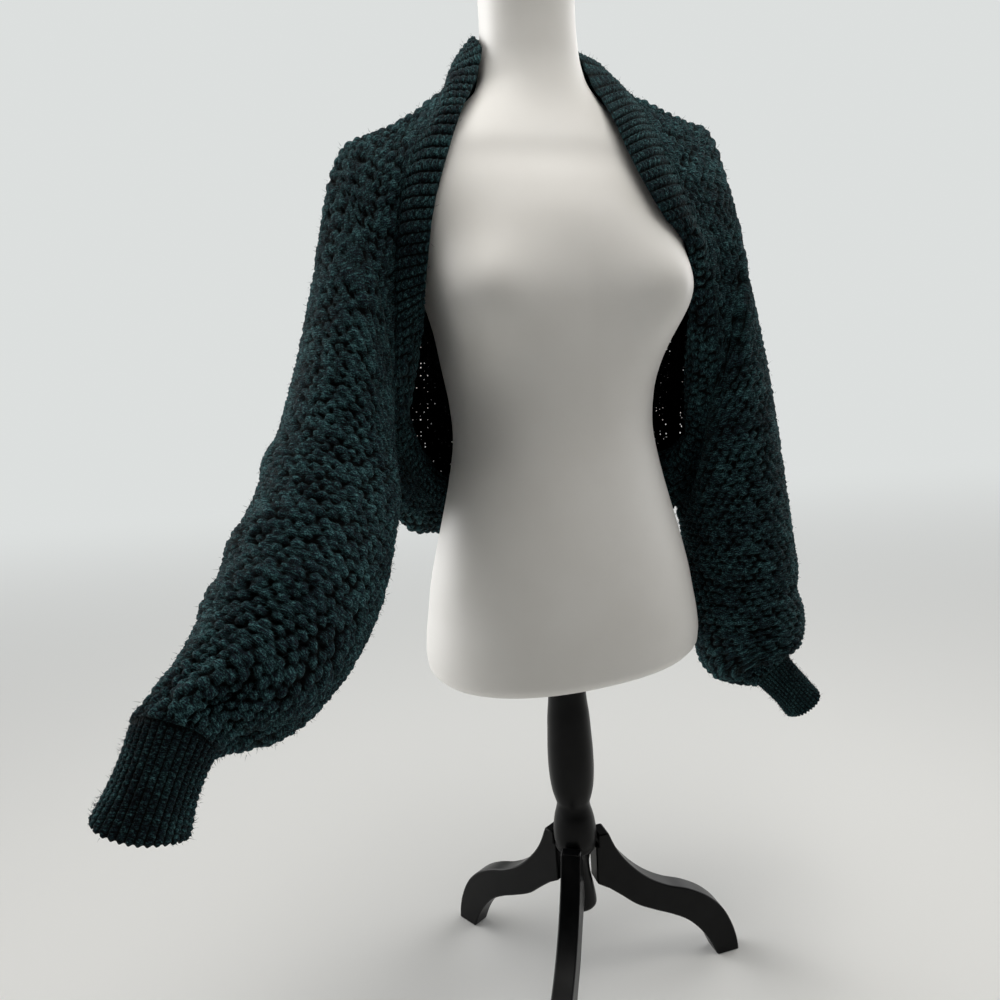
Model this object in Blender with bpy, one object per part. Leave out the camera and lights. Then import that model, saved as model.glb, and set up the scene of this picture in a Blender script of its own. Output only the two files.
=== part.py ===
"""A knitted cocoon shrug, worn by a limbless dress form on a turned pole with three board legs.

Metres, +Z up. The pole's axis is x = y = 0, the form faces -Y and its own right side is -X.
The cloth is one deep panel (body), two balloon sleeves, one ribbed band round the whole opening
and two ribbed cuffs. Every cloth piece is a wall between two grids of matching points.
"""

from collections import namedtuple

import bpy
import numpy as np
from mathutils import Vector
from mathutils.bvhtree import BVHTree

# ---------------------------------------------------------------- driving sizes

GAP = 0.0003  # left between pieces that meet
WALL = 0.0042  # thickness of the knitted cloth
CUFF_WALL = 0.0034
REST_GAP = 0.0008  # cloth to form, where the cloth lies on it
CLEARING_PASSES = 6
CELL_SAMPLES = (0.0, 0.25, 0.5, 0.75, 1.0)  # where each grid face is tried against the form
SOFTENING_PASSES = 4  # how often a cloth's normals are averaged before the wall is raised
SHARP_ANGLE = 50  # degrees between two faces from which their edge is shaded sharp
CENTRE_SHIFT = (0.0775, 0.0129, 0.0)  # brings the middle of the part's footprint over the origin

# ---------------------------------------------------------------- the dress form

FormRing = namedtuple("FormRing", "z half_width front back")
FORM_RINGS = (
    FormRing(0.4570, 0.154, 0.111, 0.103),
    FormRing(0.4620, 0.160, 0.115, 0.107),
    FormRing(0.4760, 0.164, 0.118, 0.110),
    FormRing(0.5000, 0.163, 0.119, 0.111),
    FormRing(0.5300, 0.158, 0.118, 0.110),
    FormRing(0.5600, 0.153, 0.115, 0.107),
    FormRing(0.6000, 0.143, 0.110, 0.101),
    FormRing(0.6400, 0.132, 0.104, 0.092),
    FormRing(0.6800, 0.122, 0.098, 0.083),
    FormRing(0.7200, 0.115, 0.094, 0.076),
    FormRing(0.7600, 0.116, 0.098, 0.074),
    FormRing(0.8000, 0.122, 0.105, 0.075),
    FormRing(0.8400, 0.128, 0.110, 0.079),
    FormRing(0.8700, 0.136, 0.112, 0.084),
    FormRing(0.9000, 0.148, 0.109, 0.089),
    FormRing(0.9400, 0.165, 0.099, 0.094),
    FormRing(0.9700, 0.174, 0.086, 0.095),
    FormRing(1.0000, 0.171, 0.071, 0.092),
    FormRing(1.0200, 0.155, 0.0635, 0.086),
    FormRing(1.0350, 0.129, 0.0572, 0.081),
    FormRing(1.0500, 0.102, 0.0512, 0.077),
    FormRing(1.0650, 0.079, 0.0462, 0.074),
    FormRing(1.0800, 0.0635, 0.0425, 0.070),
    FormRing(1.1000, 0.0550, 0.0392, 0.066),
    FormRing(1.1300, 0.0508, 0.0385, 0.0615),
    FormRing(1.1960, 0.0500, 0.0430, 0.057),
    FormRing(1.2000, 0.0465, 0.0400, 0.054),
)
FORM_SIDES = 32
FORM_ROUNDNESS = 2.25  # 2 is an ellipse, more is squarer
BUST_X = 0.100
BUST_Z = 0.862
BUST_RISE = 0.032
BUST_SPREAD_X = 0.052
BUST_SPREAD_Z = 0.052
BUST_TURN = 35  # degrees that each side of the bust turns outwards
BUST_FACING = 2.2  # how fast the bust fades in from the side of the form to its front

# ---------------------------------------------------------------- the stand

POLE_SIDES = 16
POLE_PROFILE = (  # (radius, z), top to bottom
    (0.0220, 0.4567),
    (0.0236, 0.3960),
    (0.0253, 0.3810),
    (0.0266, 0.3580),
    (0.0278, 0.3310),
    (0.0278, 0.3120),
    (0.0269, 0.2960),
    (0.0248, 0.2810),
    (0.0222, 0.2710),
    (0.0203, 0.2640),
    (0.0213, 0.2570),
    (0.0235, 0.2490),
    (0.0256, 0.2370),
    (0.0265, 0.2250),
    (0.0260, 0.2160),
    (0.0250, 0.2100),
    (0.0250, 0.2060),
    (0.0225, 0.2030),
    (0.0225, 0.1280),
)
HUB_RADIUS = 0.0225
HUB_TOP = 0.2030
COLLAR_RADIUS = 0.0262  # the pole just above the hub, which each leg is notched round
LEG_ROOT_RISE = 0.010
LEG_THICKNESS = 0.024
LEG_ANGLES = {"leg_left": -4.5, "leg_back": 115.5, "leg_front": 235.5}  # degrees round from +X
LEG_TOP = (  # (distance from the axis, z) from the pole out to the toe
    (0.040, 0.2180),
    (0.052, 0.1900),
    (0.072, 0.1620),
    (0.096, 0.1390),
    (0.121, 0.1230),
    (0.150, 0.1100),
    (0.176, 0.0930),
    (0.197, 0.0710),
    (0.212, 0.0430),
    (0.220, 0.0160),
    (0.222, 0.0000),
)
LEG_UNDERSIDE = (  # back from the heel to the pole
    (0.190, 0.0000),
    (0.178, 0.0260),
    (0.164, 0.0470),
    (0.148, 0.0640),
    (0.126, 0.0790),
    (0.100, 0.0930),
    (0.075, 0.1080),
    (0.054, 0.1270),
    (0.038, 0.1410),
)

# ---------------------------------------------------------------- the cloth's sections

# One row for each section of the panel, from the middle of the back out to the armhole. Each
# section starts at the neckline or front edge (seam), goes over the shoulder (ridge), down the
# back (blade, back, low), round the bottom fold and up to the hem's edge. x is outwards.
Section = namedtuple("Section", "at seam front ridge blade back low fold hem")
RIGHT_SECTIONS = (
    Section(0.00, (0.000, 0.080, 1.098), (0.000, 0.086, 1.088), (0.000, 0.092, 1.075),
            (0.000, 0.112, 0.985), (0.000, 0.125, 0.850), (0.000, 0.146, 0.700),
            (0.000, 0.138, 0.585), (0.000, 0.115, 0.600)),
    Section(0.15, (0.056, 0.062, 1.099), (0.056, 0.070, 1.090), (0.056, 0.078, 1.077),
            (0.035, 0.112, 0.985), (0.035, 0.125, 0.850), (0.037, 0.146, 0.700),
            (0.035, 0.137, 0.586), (0.033, 0.114, 0.602)),
    Section(0.30, (0.085, 0.018, 1.083), (0.088, 0.026, 1.078), (0.090, 0.036, 1.070),
            (0.068, 0.110, 0.985), (0.070, 0.124, 0.850), (0.074, 0.146, 0.700),
            (0.070, 0.133, 0.595), (0.065, 0.110, 0.611)),
    Section(0.45, (0.113, -0.024, 1.046), (0.118, -0.008, 1.051), (0.120, 0.012, 1.048),
            (0.100, 0.104, 0.982), (0.104, 0.122, 0.850), (0.108, 0.145, 0.702),
            (0.100, 0.125, 0.603), (0.093, 0.100, 0.624)),
    Section(0.60, (0.148, -0.048, 1.000), (0.150, -0.028, 1.020), (0.149, 0.006, 1.034),
            (0.130, 0.094, 0.978), (0.134, 0.118, 0.848), (0.139, 0.141, 0.705),
            (0.125, 0.112, 0.611), (0.118, 0.085, 0.640)),
    Section(0.75, (0.168, -0.048, 0.943), (0.172, -0.044, 0.988), (0.176, 0.004, 1.026),
            (0.162, 0.080, 0.970), (0.166, 0.112, 0.843), (0.170, 0.134, 0.710),
            (0.150, 0.090, 0.618), (0.145, 0.055, 0.662)),
    Section(0.88, (0.178, -0.040, 0.880), (0.187, -0.050, 0.950), (0.198, 0.004, 1.018),
            (0.188, 0.062, 0.958), (0.194, 0.100, 0.833), (0.194, 0.120, 0.715),
            (0.167, 0.068, 0.640), (0.165, 0.025, 0.698)),
    Section(1.00, (0.192, -0.043, 0.790), (0.203, -0.058, 0.900), (0.212, 0.002, 0.996),
            (0.208, 0.045, 0.928), (0.218, 0.085, 0.812), (0.214, 0.095, 0.715),
            (0.184, 0.045, 0.661), (0.188, -0.012, 0.748)),
)
LEFT_SECTIONS = (
    RIGHT_SECTIONS[0],
    RIGHT_SECTIONS[1],
    Section(0.30, (0.100, 0.024, 1.096), (0.102, 0.031, 1.089), (0.103, 0.040, 1.079),
            (0.068, 0.110, 0.985), (0.070, 0.124, 0.850), (0.074, 0.146, 0.700),
            (0.070, 0.133, 0.590), (0.065, 0.110, 0.608)),
    Section(0.45, (0.111, -0.012, 1.074), (0.119, -0.001, 1.074), (0.123, 0.014, 1.069),
            (0.100, 0.104, 0.985), (0.104, 0.122, 0.850), (0.108, 0.145, 0.702),
            (0.102, 0.125, 0.593), (0.095, 0.100, 0.618)),
    Section(0.60, (0.114, -0.062, 1.010), (0.138, -0.034, 1.044), (0.152, 0.004, 1.056),
            (0.134, 0.094, 0.986), (0.136, 0.118, 0.848), (0.140, 0.141, 0.705),
            (0.130, 0.112, 0.597), (0.122, 0.085, 0.635)),
    Section(0.75, (0.132, -0.078, 0.953), (0.162, -0.054, 1.008), (0.180, -0.002, 1.050),
            (0.167, 0.080, 0.984), (0.170, 0.112, 0.845), (0.172, 0.134, 0.710),
            (0.162, 0.090, 0.600), (0.156, 0.055, 0.642)),
    Section(0.88, (0.158, -0.078, 0.890), (0.184, -0.062, 0.968), (0.203, -0.006, 1.045),
            (0.196, 0.062, 0.974), (0.199, 0.100, 0.837), (0.198, 0.120, 0.715),
            (0.186, 0.068, 0.604), (0.178, 0.022, 0.650)),
    Section(1.00, (0.180, -0.060, 0.790), (0.202, -0.068, 0.905), (0.213, -0.008, 1.022),
            (0.214, 0.040, 0.944), (0.224, 0.080, 0.815), (0.221, 0.092, 0.700),
            (0.198, 0.045, 0.613), (0.191, -0.016, 0.690)),
)
SPAN_CELLS = (3, 4, 4, 4, 4, 5, 4)  # cells of the grid between neighbouring columns above
CLOSING_CELLS = 4  # cells of a sleeve's first ring that lie along the band's underarm turn
BODY_CELLS_A_SIDE = 14
CROWDING = 0.6  # how much closer the panel's rows lie at the armhole than in the middle

# The band's free edge: x outwards, at the same places as the section rows, then the hem's.
FreeEdge = namedtuple("FreeEdge", "at front hem")
RIGHT_FREE_EDGE = (
    FreeEdge(0.00, (0.000, 0.066, 1.147), (0.000, 0.108, 0.643)),
    FreeEdge(0.15, (0.043, 0.047, 1.147), (0.030, 0.108, 0.645)),
    FreeEdge(0.30, (0.058, 0.006, 1.128), (0.060, 0.102, 0.652)),
    FreeEdge(0.45, (0.087, -0.042, 1.064), (0.087, 0.094, 0.662)),
    FreeEdge(0.60, (0.116, -0.060, 1.006), (0.112, 0.078, 0.676)),
    FreeEdge(0.75, (0.140, -0.070, 0.945), (0.141, 0.050, 0.707)),
    FreeEdge(0.88, (0.149, -0.060, 0.890), (0.158, 0.028, 0.735)),
    FreeEdge(1.00, (0.154, -0.030, 0.836), (0.165, 0.014, 0.757)),
)
LEFT_FREE_EDGE = (
    RIGHT_FREE_EDGE[0],
    RIGHT_FREE_EDGE[1],
    FreeEdge(0.30, (0.060, 0.004, 1.124), (0.060, 0.104, 0.652)),
    FreeEdge(0.45, (0.058, -0.050, 1.056), (0.088, 0.091, 0.660)),
    FreeEdge(0.60, (0.067, -0.079, 0.996), (0.116, 0.074, 0.670)),
    FreeEdge(0.75, (0.088, -0.096, 0.941), (0.151, 0.050, 0.676)),
    FreeEdge(0.88, (0.140, -0.074, 0.889), (0.173, 0.024, 0.685)),
    FreeEdge(1.00, (0.168, -0.021, 0.784), (0.183, 0.003, 0.705)),
)
RIB_PITCH = 0.0108
RIB_RISE = 0.0022
BAND_SWELL = 0.006  # how far the middle of the band stands out from a straight line across it

# One row for each ring of a sleeve below the armhole. across and tilt turn the ring's long
# side, in degrees: across from +X in plan, tilt downwards from outer to inner.
SleeveRing = namedtuple("SleeveRing", "along centre across tilt half_width half_depth")
RIGHT_SLEEVE = (
    SleeveRing(0.46, (0.261, -0.054, 0.680), 20, 28, 0.061, 0.082),
    SleeveRing(0.60, (0.296, -0.102, 0.619), 20, 23, 0.064, 0.079),
    SleeveRing(0.74, (0.334, -0.140, 0.571), 20, 22, 0.058, 0.070),
    SleeveRing(0.87, (0.370, -0.172, 0.549), 20, 24, 0.046, 0.054),
    SleeveRing(0.95, (0.398, -0.187, 0.545), 20, 22, 0.032, 0.038),
    SleeveRing(1.00, (0.412, -0.194, 0.538), 20, 18, 0.029, 0.030),
)
LEFT_SLEEVE = (
    SleeveRing(0.45, (0.242, -0.003, 0.601), -20, 28, 0.064, 0.079),
    SleeveRing(0.61, (0.2475, -0.008, 0.515), -20, 10, 0.063, 0.076),
    SleeveRing(0.76, (0.2515, -0.016, 0.446), -20, 6, 0.063, 0.071),
    SleeveRing(0.89, (0.2555, -0.026, 0.407), -20, 20, 0.052, 0.058),
    SleeveRing(0.96, (0.2600, -0.037, 0.401), -20, 36, 0.031, 0.037),
    SleeveRing(1.00, (0.266, -0.045, 0.397), -20, 41, 0.022, 0.025),
)
# Where each column of the sections lies round a sleeve ring, in degrees from its outer side.
COLUMN_ANGLES = (142, 82, 12, -38, -82, -122, -164, -196)
CLOSING_ANGLE = -218  # the seam column again, once round
SLEEVE_CELLS = 16
SLEEVE_LEAD = 0.012  # how far the sleeve carries on from the armhole before it turns down
SLEEVE_LEAD_AT = 0.06
RIGHT_HEAD_SWELL = -0.007  # how far the outer side stands out between the armhole and the arm
LEFT_HEAD_SWELL = 0.010
GATHERS = 8
GATHER_DEPTH = 0.0035
GATHERS_FROM = 0.62  # where the gathers start down the sleeve; they are deepest near the cuff
GATHERS_GROW = 1.5
GATHERS_END = 0.06  # share of the sleeve, next to the cuff, over which they close again
GATHERS_CLOSE = 0.5
RIGHT_CUFF_END = SleeveRing(1.13, (0.444, -0.197, 0.476), 20, 21, 0.032, 0.029)
LEFT_CUFF_END = SleeveRing(1.10, (0.302, -0.060, 0.351), -20, 42, 0.021, 0.024)
CUFF_RIBS = 32
CUFF_CELLS = 3
CUFF_RIB_RISE = 0.0018

# ---------------------------------------------------------------- finishes

YARN_GREEN = (0.012, 0.035, 0.032, 1.0)
FORM_WHITE = (0.80, 0.78, 0.75, 1.0)
STAND_BLACK = (0.012, 0.012, 0.013, 1.0)


def finish(name, colour, roughness):
    """A plain Principled material."""
    material = bpy.data.materials.new(name)
    material.use_nodes = True
    shader = material.node_tree.nodes["Principled BSDF"]
    shader.inputs["Base Color"].default_value = colour
    shader.inputs["Roughness"].default_value = roughness
    shader.inputs["Metallic"].default_value = 0.0
    material.diffuse_color = colour
    return material


# ---------------------------------------------------------------- curves and grids


def smooth_through(knots, values, at):
    """A cubic through each row of values, its slope at a row the mean of the chords beside it."""
    knots = np.asarray(knots, float)
    values = np.asarray(values, float)
    at = np.asarray(at, float)
    steps = np.diff(knots)
    wide = (-1,) + (1,) * (values.ndim - 1)
    chords = np.diff(values, axis=0) / steps.reshape(wide)
    slopes = np.empty_like(values)
    slopes[0] = chords[0]
    slopes[-1] = chords[-1]
    before = steps[:-1].reshape(wide)
    after = steps[1:].reshape(wide)
    slopes[1:-1] = (after * chords[:-1] + before * chords[1:]) / (before + after)
    cell = np.clip(np.searchsorted(knots, at, side="right") - 1, 0, len(steps) - 1)
    step = steps[cell].reshape(wide)
    t = ((at - knots[cell]) / steps[cell]).reshape(wide)
    start = values[cell]
    end = values[cell + 1]
    leave = slopes[cell] * step
    arrive = slopes[cell + 1] * step
    return (
        (2 * t**3 - 3 * t**2 + 1) * start
        + (t**3 - 2 * t**2 + t) * leave
        + (3 * t**2 - 2 * t**3) * end
        + (t**3 - t**2) * arrive
    )


def unit(vectors):
    """Each vector at length one."""
    return vectors / np.linalg.norm(vectors, axis=-1, keepdims=True)


def grid_normals(points, round_i=False, round_j=False):
    """Unit normals of a grid of points: the cross product of its two directions."""
    grid = points
    if round_i:
        grid = np.concatenate([grid[-1:], grid, grid[:1]], axis=0)
    if round_j:
        grid = np.concatenate([grid[:, -1:], grid, grid[:, :1]], axis=1)
    along_i = np.gradient(grid, axis=0)
    along_j = np.gradient(grid, axis=1)
    if round_i:
        along_i = along_i[1:-1]
        along_j = along_j[1:-1]
    if round_j:
        along_i = along_i[:, 1:-1]
        along_j = along_j[:, 1:-1]
    return unit(np.cross(along_i, along_j))


def soften(normals, round_i=False, round_j=False):
    """Normals averaged with their neighbours in the grid, so that tight bends stay open."""
    for _ in range(SOFTENING_PASSES):
        grid = np.concatenate(
            [normals[-1:] if round_i else normals[:1], normals,
             normals[:1] if round_i else normals[-1:]], axis=0)
        grid = np.concatenate(
            [grid[:, -1:] if round_j else grid[:, :1], grid,
             grid[:, :1] if round_j else grid[:, -1:]], axis=1)
        around = grid[:-2, 1:-1] + grid[2:, 1:-1] + grid[1:-1, :-2] + grid[1:-1, 2:]
        normals = unit(normals + around / 4)
    return normals


def make_object(name, points, faces, material, parent, smooth=True):
    """A named mesh object with one material, placed under the parent."""
    mesh = bpy.data.meshes.new(name)
    mesh.from_pydata([tuple(p) for p in points], [], [tuple(int(k) for k in f) for f in faces])
    mesh.validate()
    mesh.materials.append(material)
    if smooth:
        mesh.shade_smooth()
        mesh.set_sharp_from_angle(angle=np.radians(SHARP_ANGLE))
    piece = bpy.data.objects.new(name, mesh)
    piece.parent = parent
    bpy.context.scene.collection.objects.link(piece)
    return piece


def wall(name, inner, outer, material, parent, round_i=False, round_j=False, fans=False):
    """A closed solid between two matching grids, with its open edges walled.

    With fans, each face of an edge is cut into four from its middle, so that two edges that
    meet are cut alike.
    """
    rows, columns = inner.shape[:2]
    count = rows * columns
    points = np.concatenate([inner.reshape(-1, 3), outer.reshape(-1, 3)])
    index = np.arange(count).reshape(rows, columns)
    if round_i:
        index = np.concatenate([index, index[:1]], axis=0)
    if round_j:
        index = np.concatenate([index, index[:, :1]], axis=1)
    a = index[:-1, :-1].ravel()
    b = index[1:, :-1].ravel()
    c = index[1:, 1:].ravel()
    d = index[:-1, 1:].ravel()
    faces = list(np.concatenate([np.stack([a, b, c, d], -1) + count, np.stack([d, c, b, a], -1)]))
    edges = []
    if not round_j:
        edges.append(index[:, 0][::-1])
        edges.append(index[:, -1])
    if not round_i:
        edges.append(index[0])
        edges.append(index[-1][::-1])
    for edge in edges:
        start = edge[:-1]
        end = edge[1:]
        quads = np.stack([start + count, end + count, end, start], -1)
        if fans:
            middle = len(points) + np.arange(len(quads))
            points = np.concatenate([points, points[quads].mean(axis=1)])
            for k in range(4):
                faces += list(np.stack([quads[:, k], quads[:, (k + 1) % 4], middle], -1))
        else:
            faces += list(quads)
    return make_object(name, points, faces, material, parent)


def capped_rings(name, rings, material, parent):
    """A closed solid through stacked rings of matching points, its two ends filled."""
    levels, sides = rings.shape[:2]
    index = np.arange(levels * sides).reshape(levels, sides)
    around = np.concatenate([index, index[:, :1]], axis=1)
    a = around[:-1, :-1].ravel()
    b = around[:-1, 1:].ravel()
    c = around[1:, 1:].ravel()
    d = around[1:, :-1].ravel()
    faces = [tuple(q) for q in np.stack([a, b, c, d], -1)]
    faces.append(tuple(index[0][::-1]))
    faces.append(tuple(index[-1]))
    return make_object(name, rings.reshape(-1, 3), faces, material, parent)


# ---------------------------------------------------------------- dress form and stand


def form_rings():
    """Superellipse rings with the bust added to the front as two soft mounds."""
    angle = 2 * np.pi * np.arange(FORM_SIDES) / FORM_SIDES
    rows = np.array(FORM_RINGS)
    z = rows[:, 0][:, None]
    across = np.abs(np.cos(angle))[None] / rows[:, 1][:, None]
    depth = np.where(np.sin(angle)[None] < 0, rows[:, 2][:, None], rows[:, 3][:, None])
    through = np.abs(np.sin(angle))[None] / depth
    radius = (across**FORM_ROUNDNESS + through**FORM_ROUNDNESS) ** (-1 / FORM_ROUNDNESS)
    x = radius * np.cos(angle)[None]
    y = radius * np.sin(angle)[None]
    mound = np.exp(
        -(((np.abs(x) - BUST_X) / BUST_SPREAD_X) ** 2) - ((z - BUST_Z) / BUST_SPREAD_Z) ** 2
    )
    facing = np.clip(-BUST_FACING * np.sin(angle)[None], 0, 1)
    push = BUST_RISE * mound * facing
    x = x + push * np.sin(np.radians(BUST_TURN)) * np.sign(x)
    y = y - push * np.cos(np.radians(BUST_TURN))
    return np.stack([x, y, np.broadcast_to(z, x.shape)], -1)


def make_torso(material, parent):
    """The limbless dress form, from its flat underside to its flat neck."""
    return capped_rings("torso", form_rings(), material, parent)


def make_pole(material, parent):
    """The turned pole: its profile carried round the axis."""
    angle = 2 * np.pi * np.arange(POLE_SIDES) / POLE_SIDES
    circle = np.stack([np.cos(angle), np.sin(angle)], -1)
    rings = [
        np.concatenate([radius * circle, np.full((POLE_SIDES, 1), z)], axis=1)
        for radius, z in reversed(POLE_PROFILE)
    ]
    return capped_rings("pole", np.array(rings), material, parent)


def make_leg(name, angle, material, parent):
    """A board cut to an S curve, its inner end flat against the pole."""
    inner = HUB_RADIUS + GAP
    step_out = COLLAR_RADIUS + GAP
    outline = [(step_out, LEG_TOP[0][1])]
    outline += list(LEG_TOP)
    outline += list(LEG_UNDERSIDE)
    outline.append((inner, LEG_UNDERSIDE[-1][1] + LEG_ROOT_RISE))
    outline.append((inner, HUB_TOP - GAP))
    outline.append((step_out, HUB_TOP - GAP))
    outline = np.array(outline)
    count = len(outline)
    sides = []
    for y in (-LEG_THICKNESS / 2, LEG_THICKNESS / 2):
        sides.append(np.stack([outline[:, 0], np.full(count, y), outline[:, 1]], -1))
    points = np.concatenate(sides)
    faces = [tuple(range(count))[::-1], tuple(range(count, 2 * count))]
    for k in range(count):
        after = (k + 1) % count
        faces.append((k, after, after + count, k + count))
    leg = make_object(name, points, faces, material, parent, smooth=False)
    leg.rotation_euler = (0.0, 0.0, np.radians(angle))
    return leg


# ---------------------------------------------------------------- the cloth


def section_points(rows, at, side):
    """Control points of the sections at the given places, on one side of the body (+1 or -1)."""
    knots = [row.at for row in rows]
    columns = np.array([row[1:] for row in rows])
    points = smooth_through(knots, columns, at)
    points[..., 0] *= side
    return points


def column_places():
    """Where the grid's columns fall along a section, in units of the control columns."""
    places = [0.0]
    for span, cells in enumerate(SPAN_CELLS):
        places += [span + (k + 1) / cells for k in range(cells)]
    return np.array(places)


def across_sections(controls, places):
    """Grid columns from control columns, by the same smooth curve."""
    swapped = np.swapaxes(controls, 0, 1)
    grid = smooth_through(np.arange(len(swapped)), swapped, places)
    return np.swapaxes(grid, 0, 1)


def row_places():
    """Where the panel's rows fall between the middle of the back and the armhole."""
    u = np.linspace(0, 1, BODY_CELLS_A_SIDE + 1)
    return u + CROWDING * u * (1 - u)


def body_surface():
    """Points of the panel's inner face: rows from the right armhole to the left one."""
    at = row_places()
    places = column_places()
    right = across_sections(section_points(RIGHT_SECTIONS, at, -1), places)
    left = across_sections(section_points(LEFT_SECTIONS, at, 1), places)
    return np.concatenate([right[::-1], left[1:]])


def shortfall(points, tree):
    """How much nearer than the resting gap each point lies to the form, and which way is out."""
    flat = points.reshape(-1, 3)
    short = np.zeros(len(flat))
    out = np.zeros((len(flat), 3))
    for k, point in enumerate(flat):
        place, normal, _, _ = tree.find_nearest(Vector(point))
        short[k] = REST_GAP - (Vector(point) - place).dot(normal)
        out[k] = normal
    return short.reshape(points.shape[:-1]), out.reshape(points.shape)


def clear_of_form(grid, tree, round_i=False, held=0):
    """Moves a grid's points out until the faces between them keep the resting gap too.

    The first `held` columns stay where they are.
    """
    grid = grid.copy()
    for _ in range(CLEARING_PASSES):
        around = np.concatenate([grid, grid[:1]]) if round_i else grid
        need = np.full(around.shape[:2], -1.0)
        for u in CELL_SAMPLES:
            for v in CELL_SAMPLES:
                sample = (
                    around[:-1, :-1] * ((1 - u) * (1 - v))
                    + around[1:, :-1] * (u * (1 - v))
                    + around[:-1, 1:] * ((1 - u) * v)
                    + around[1:, 1:] * (u * v)
                )
                short, _ = shortfall(sample, tree)
                for corner in (need[:-1, :-1], need[1:, :-1], need[:-1, 1:], need[1:, 1:]):
                    np.maximum(corner, short, out=corner)
        if round_i:
            need[0] = np.maximum(need[0], need[-1])
            need = need[:-1]
        need[:, :held] = 0.0
        if need.max() <= 0:
            break
        _, out = shortfall(grid, tree)
        grid = grid + out * np.maximum(need, 0.0)[..., None]
    return grid


def ring_angles():
    """The angle of every column of a sleeve's ring, in radians."""
    section = smooth_through(
        np.arange(len(COLUMN_ANGLES)), np.array(COLUMN_ANGLES, float)[:, None], column_places()
    )[:, 0]
    closing = np.linspace(COLUMN_ANGLES[-1], CLOSING_ANGLE, CLOSING_CELLS + 1)[1:-1]
    return np.radians(np.concatenate([section, closing]))


def oval(ring, axis, side, angles, thicker=0.0):
    """A ring's points: its long side from outer to inner, the short side square to it."""
    turn = np.radians(ring.across)
    drop = np.radians(ring.tilt)
    outwards = np.array([
        side * np.cos(turn) * np.cos(drop),
        np.sin(turn) * np.cos(drop),
        np.sin(drop),
    ])
    forwards = unit(np.cross(axis, outwards)) * side
    centre = np.array(ring.centre) * (side, 1, 1)
    width = np.broadcast_to(ring.half_width + thicker, angles.shape)
    depth = np.broadcast_to(ring.half_depth + thicker, angles.shape)
    return (
        centre
        + (width * np.cos(angles))[:, None] * outwards
        + (depth * np.sin(angles))[:, None] * forwards
    )


def sleeve_controls(first, away, rows, swell, side):
    """The armhole ring, two rings that lead away from it and the ovals below, as one array."""
    centres = np.array([row.centre for row in rows]) * (side, 1, 1)
    path = np.concatenate([first.mean(axis=0)[None], centres])
    axes = unit(np.gradient(path, axis=0))[1:]
    angles = ring_angles()
    ovals = [oval(row, axis, side, angles) for row, axis in zip(rows, axes)]
    outer_side = np.clip(np.cos(angles), 0, 1)[:, None] * (side, 0, 0)
    head = (first + ovals[0]) / 2 + swell * outer_side
    lead = first + unit(away + unit(head - first)) * SLEEVE_LEAD
    return np.array([first, lead, head] + ovals), axes


def strip_between(start, end, cells):
    """Points between two ends, neither end included, on a straight line."""
    t = (np.arange(1, cells) / cells)[:, None]
    return start + t * (end - start)


def make_sleeve(name, inner_edge, outer_edge, away, rows, swell, side, material, parent):
    """A balloon sleeve from the armhole ring to the cuff, with gathers that die out upwards."""
    first_inner = inner_edge + away * GAP
    first_outer = outer_edge + away * GAP
    controls, axes = sleeve_controls(first_inner, away, rows, swell, side)
    along = [0.0, SLEEVE_LEAD_AT, rows[0].along / 2] + [row.along for row in rows]
    at = np.linspace(0, 1, SLEEVE_CELLS + 1)
    inner = smooth_through(along, controls, at)
    normals = grid_normals(inner, round_j=True) * side
    normals[0] = unit(first_outer - first_inner)
    normals = soften(normals, round_j=True)
    grown = np.clip((at - GATHERS_FROM) / (1 - GATHERS_FROM), 0, 1)[:, None] ** GATHERS_GROW
    fade = grown * np.clip((1 - at) / GATHERS_END, 0, 1)[:, None] ** GATHERS_CLOSE
    count = inner.shape[1]
    wave = np.cos(2 * np.pi * GATHERS * np.arange(count) / count)[None]
    inner = inner + normals * (GATHER_DEPTH * fade * wave)[..., None]
    outer = inner + normals * WALL
    outer[0] = first_outer
    outer[-1] = oval(rows[-1], axes[-1], side, ring_angles(), WALL)
    if side < 0:
        inner = inner[:, ::-1]
        outer = outer[:, ::-1]
    wall(name, inner, outer, material, parent, round_j=True, fans=True)
    return axes[-1]


def make_cuff(name, ring, path_axis, end, side, material, parent):
    """A ribbed cuff between two ovals: ribs along the arm, raised on its outside."""
    count = 2 * CUFF_RIBS
    angles = np.radians(COLUMN_ANGLES[0]) - 2 * np.pi * np.arange(count) / count
    axis = unit((np.array(end.centre) - np.array(ring.centre)) * (side, 1, 1))
    rise = np.where(np.arange(count) % 2 == 0, CUFF_RIB_RISE, 0.0)
    t = np.linspace(0, 1, CUFF_CELLS + 1)[:, None, None]
    first = oval(ring, path_axis, side, angles) + axis * GAP
    last = oval(end, axis, side, angles)
    inner = first + t * (last - first)
    first = oval(ring, path_axis, side, angles, CUFF_WALL + rise) + axis * GAP
    last = oval(end, axis, side, angles, CUFF_WALL + rise)
    outer = first + t * (last - first)
    if side < 0:
        inner = inner[:, ::-1]
        outer = outer[:, ::-1]
    wall(name, inner, outer, material, parent, round_j=True)


def square_to_loop(directions, loop):
    """The part of each direction that is square to a closed loop, as unit vectors."""
    along = unit(np.roll(loop, -1, axis=0) - np.roll(loop, 1, axis=0))
    return unit(directions - along * (directions * along).sum(axis=1, keepdims=True))


def free_edge(rows, column, side, at):
    """Points of the band's free edge on one side of the body (+1 or -1)."""
    knots = [row.at for row in rows]
    values = np.array([getattr(row, column) for row in rows])
    points = smooth_through(knots, values, at)
    points[:, 0] *= side
    return points


def closed_path(body_edge_start, left_turn, hem, right_turn, body_edge_end):
    """The five stretches of the opening's edge in order, as one closed loop."""
    return np.concatenate([body_edge_start, left_turn, hem, right_turn, body_edge_end])


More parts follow.
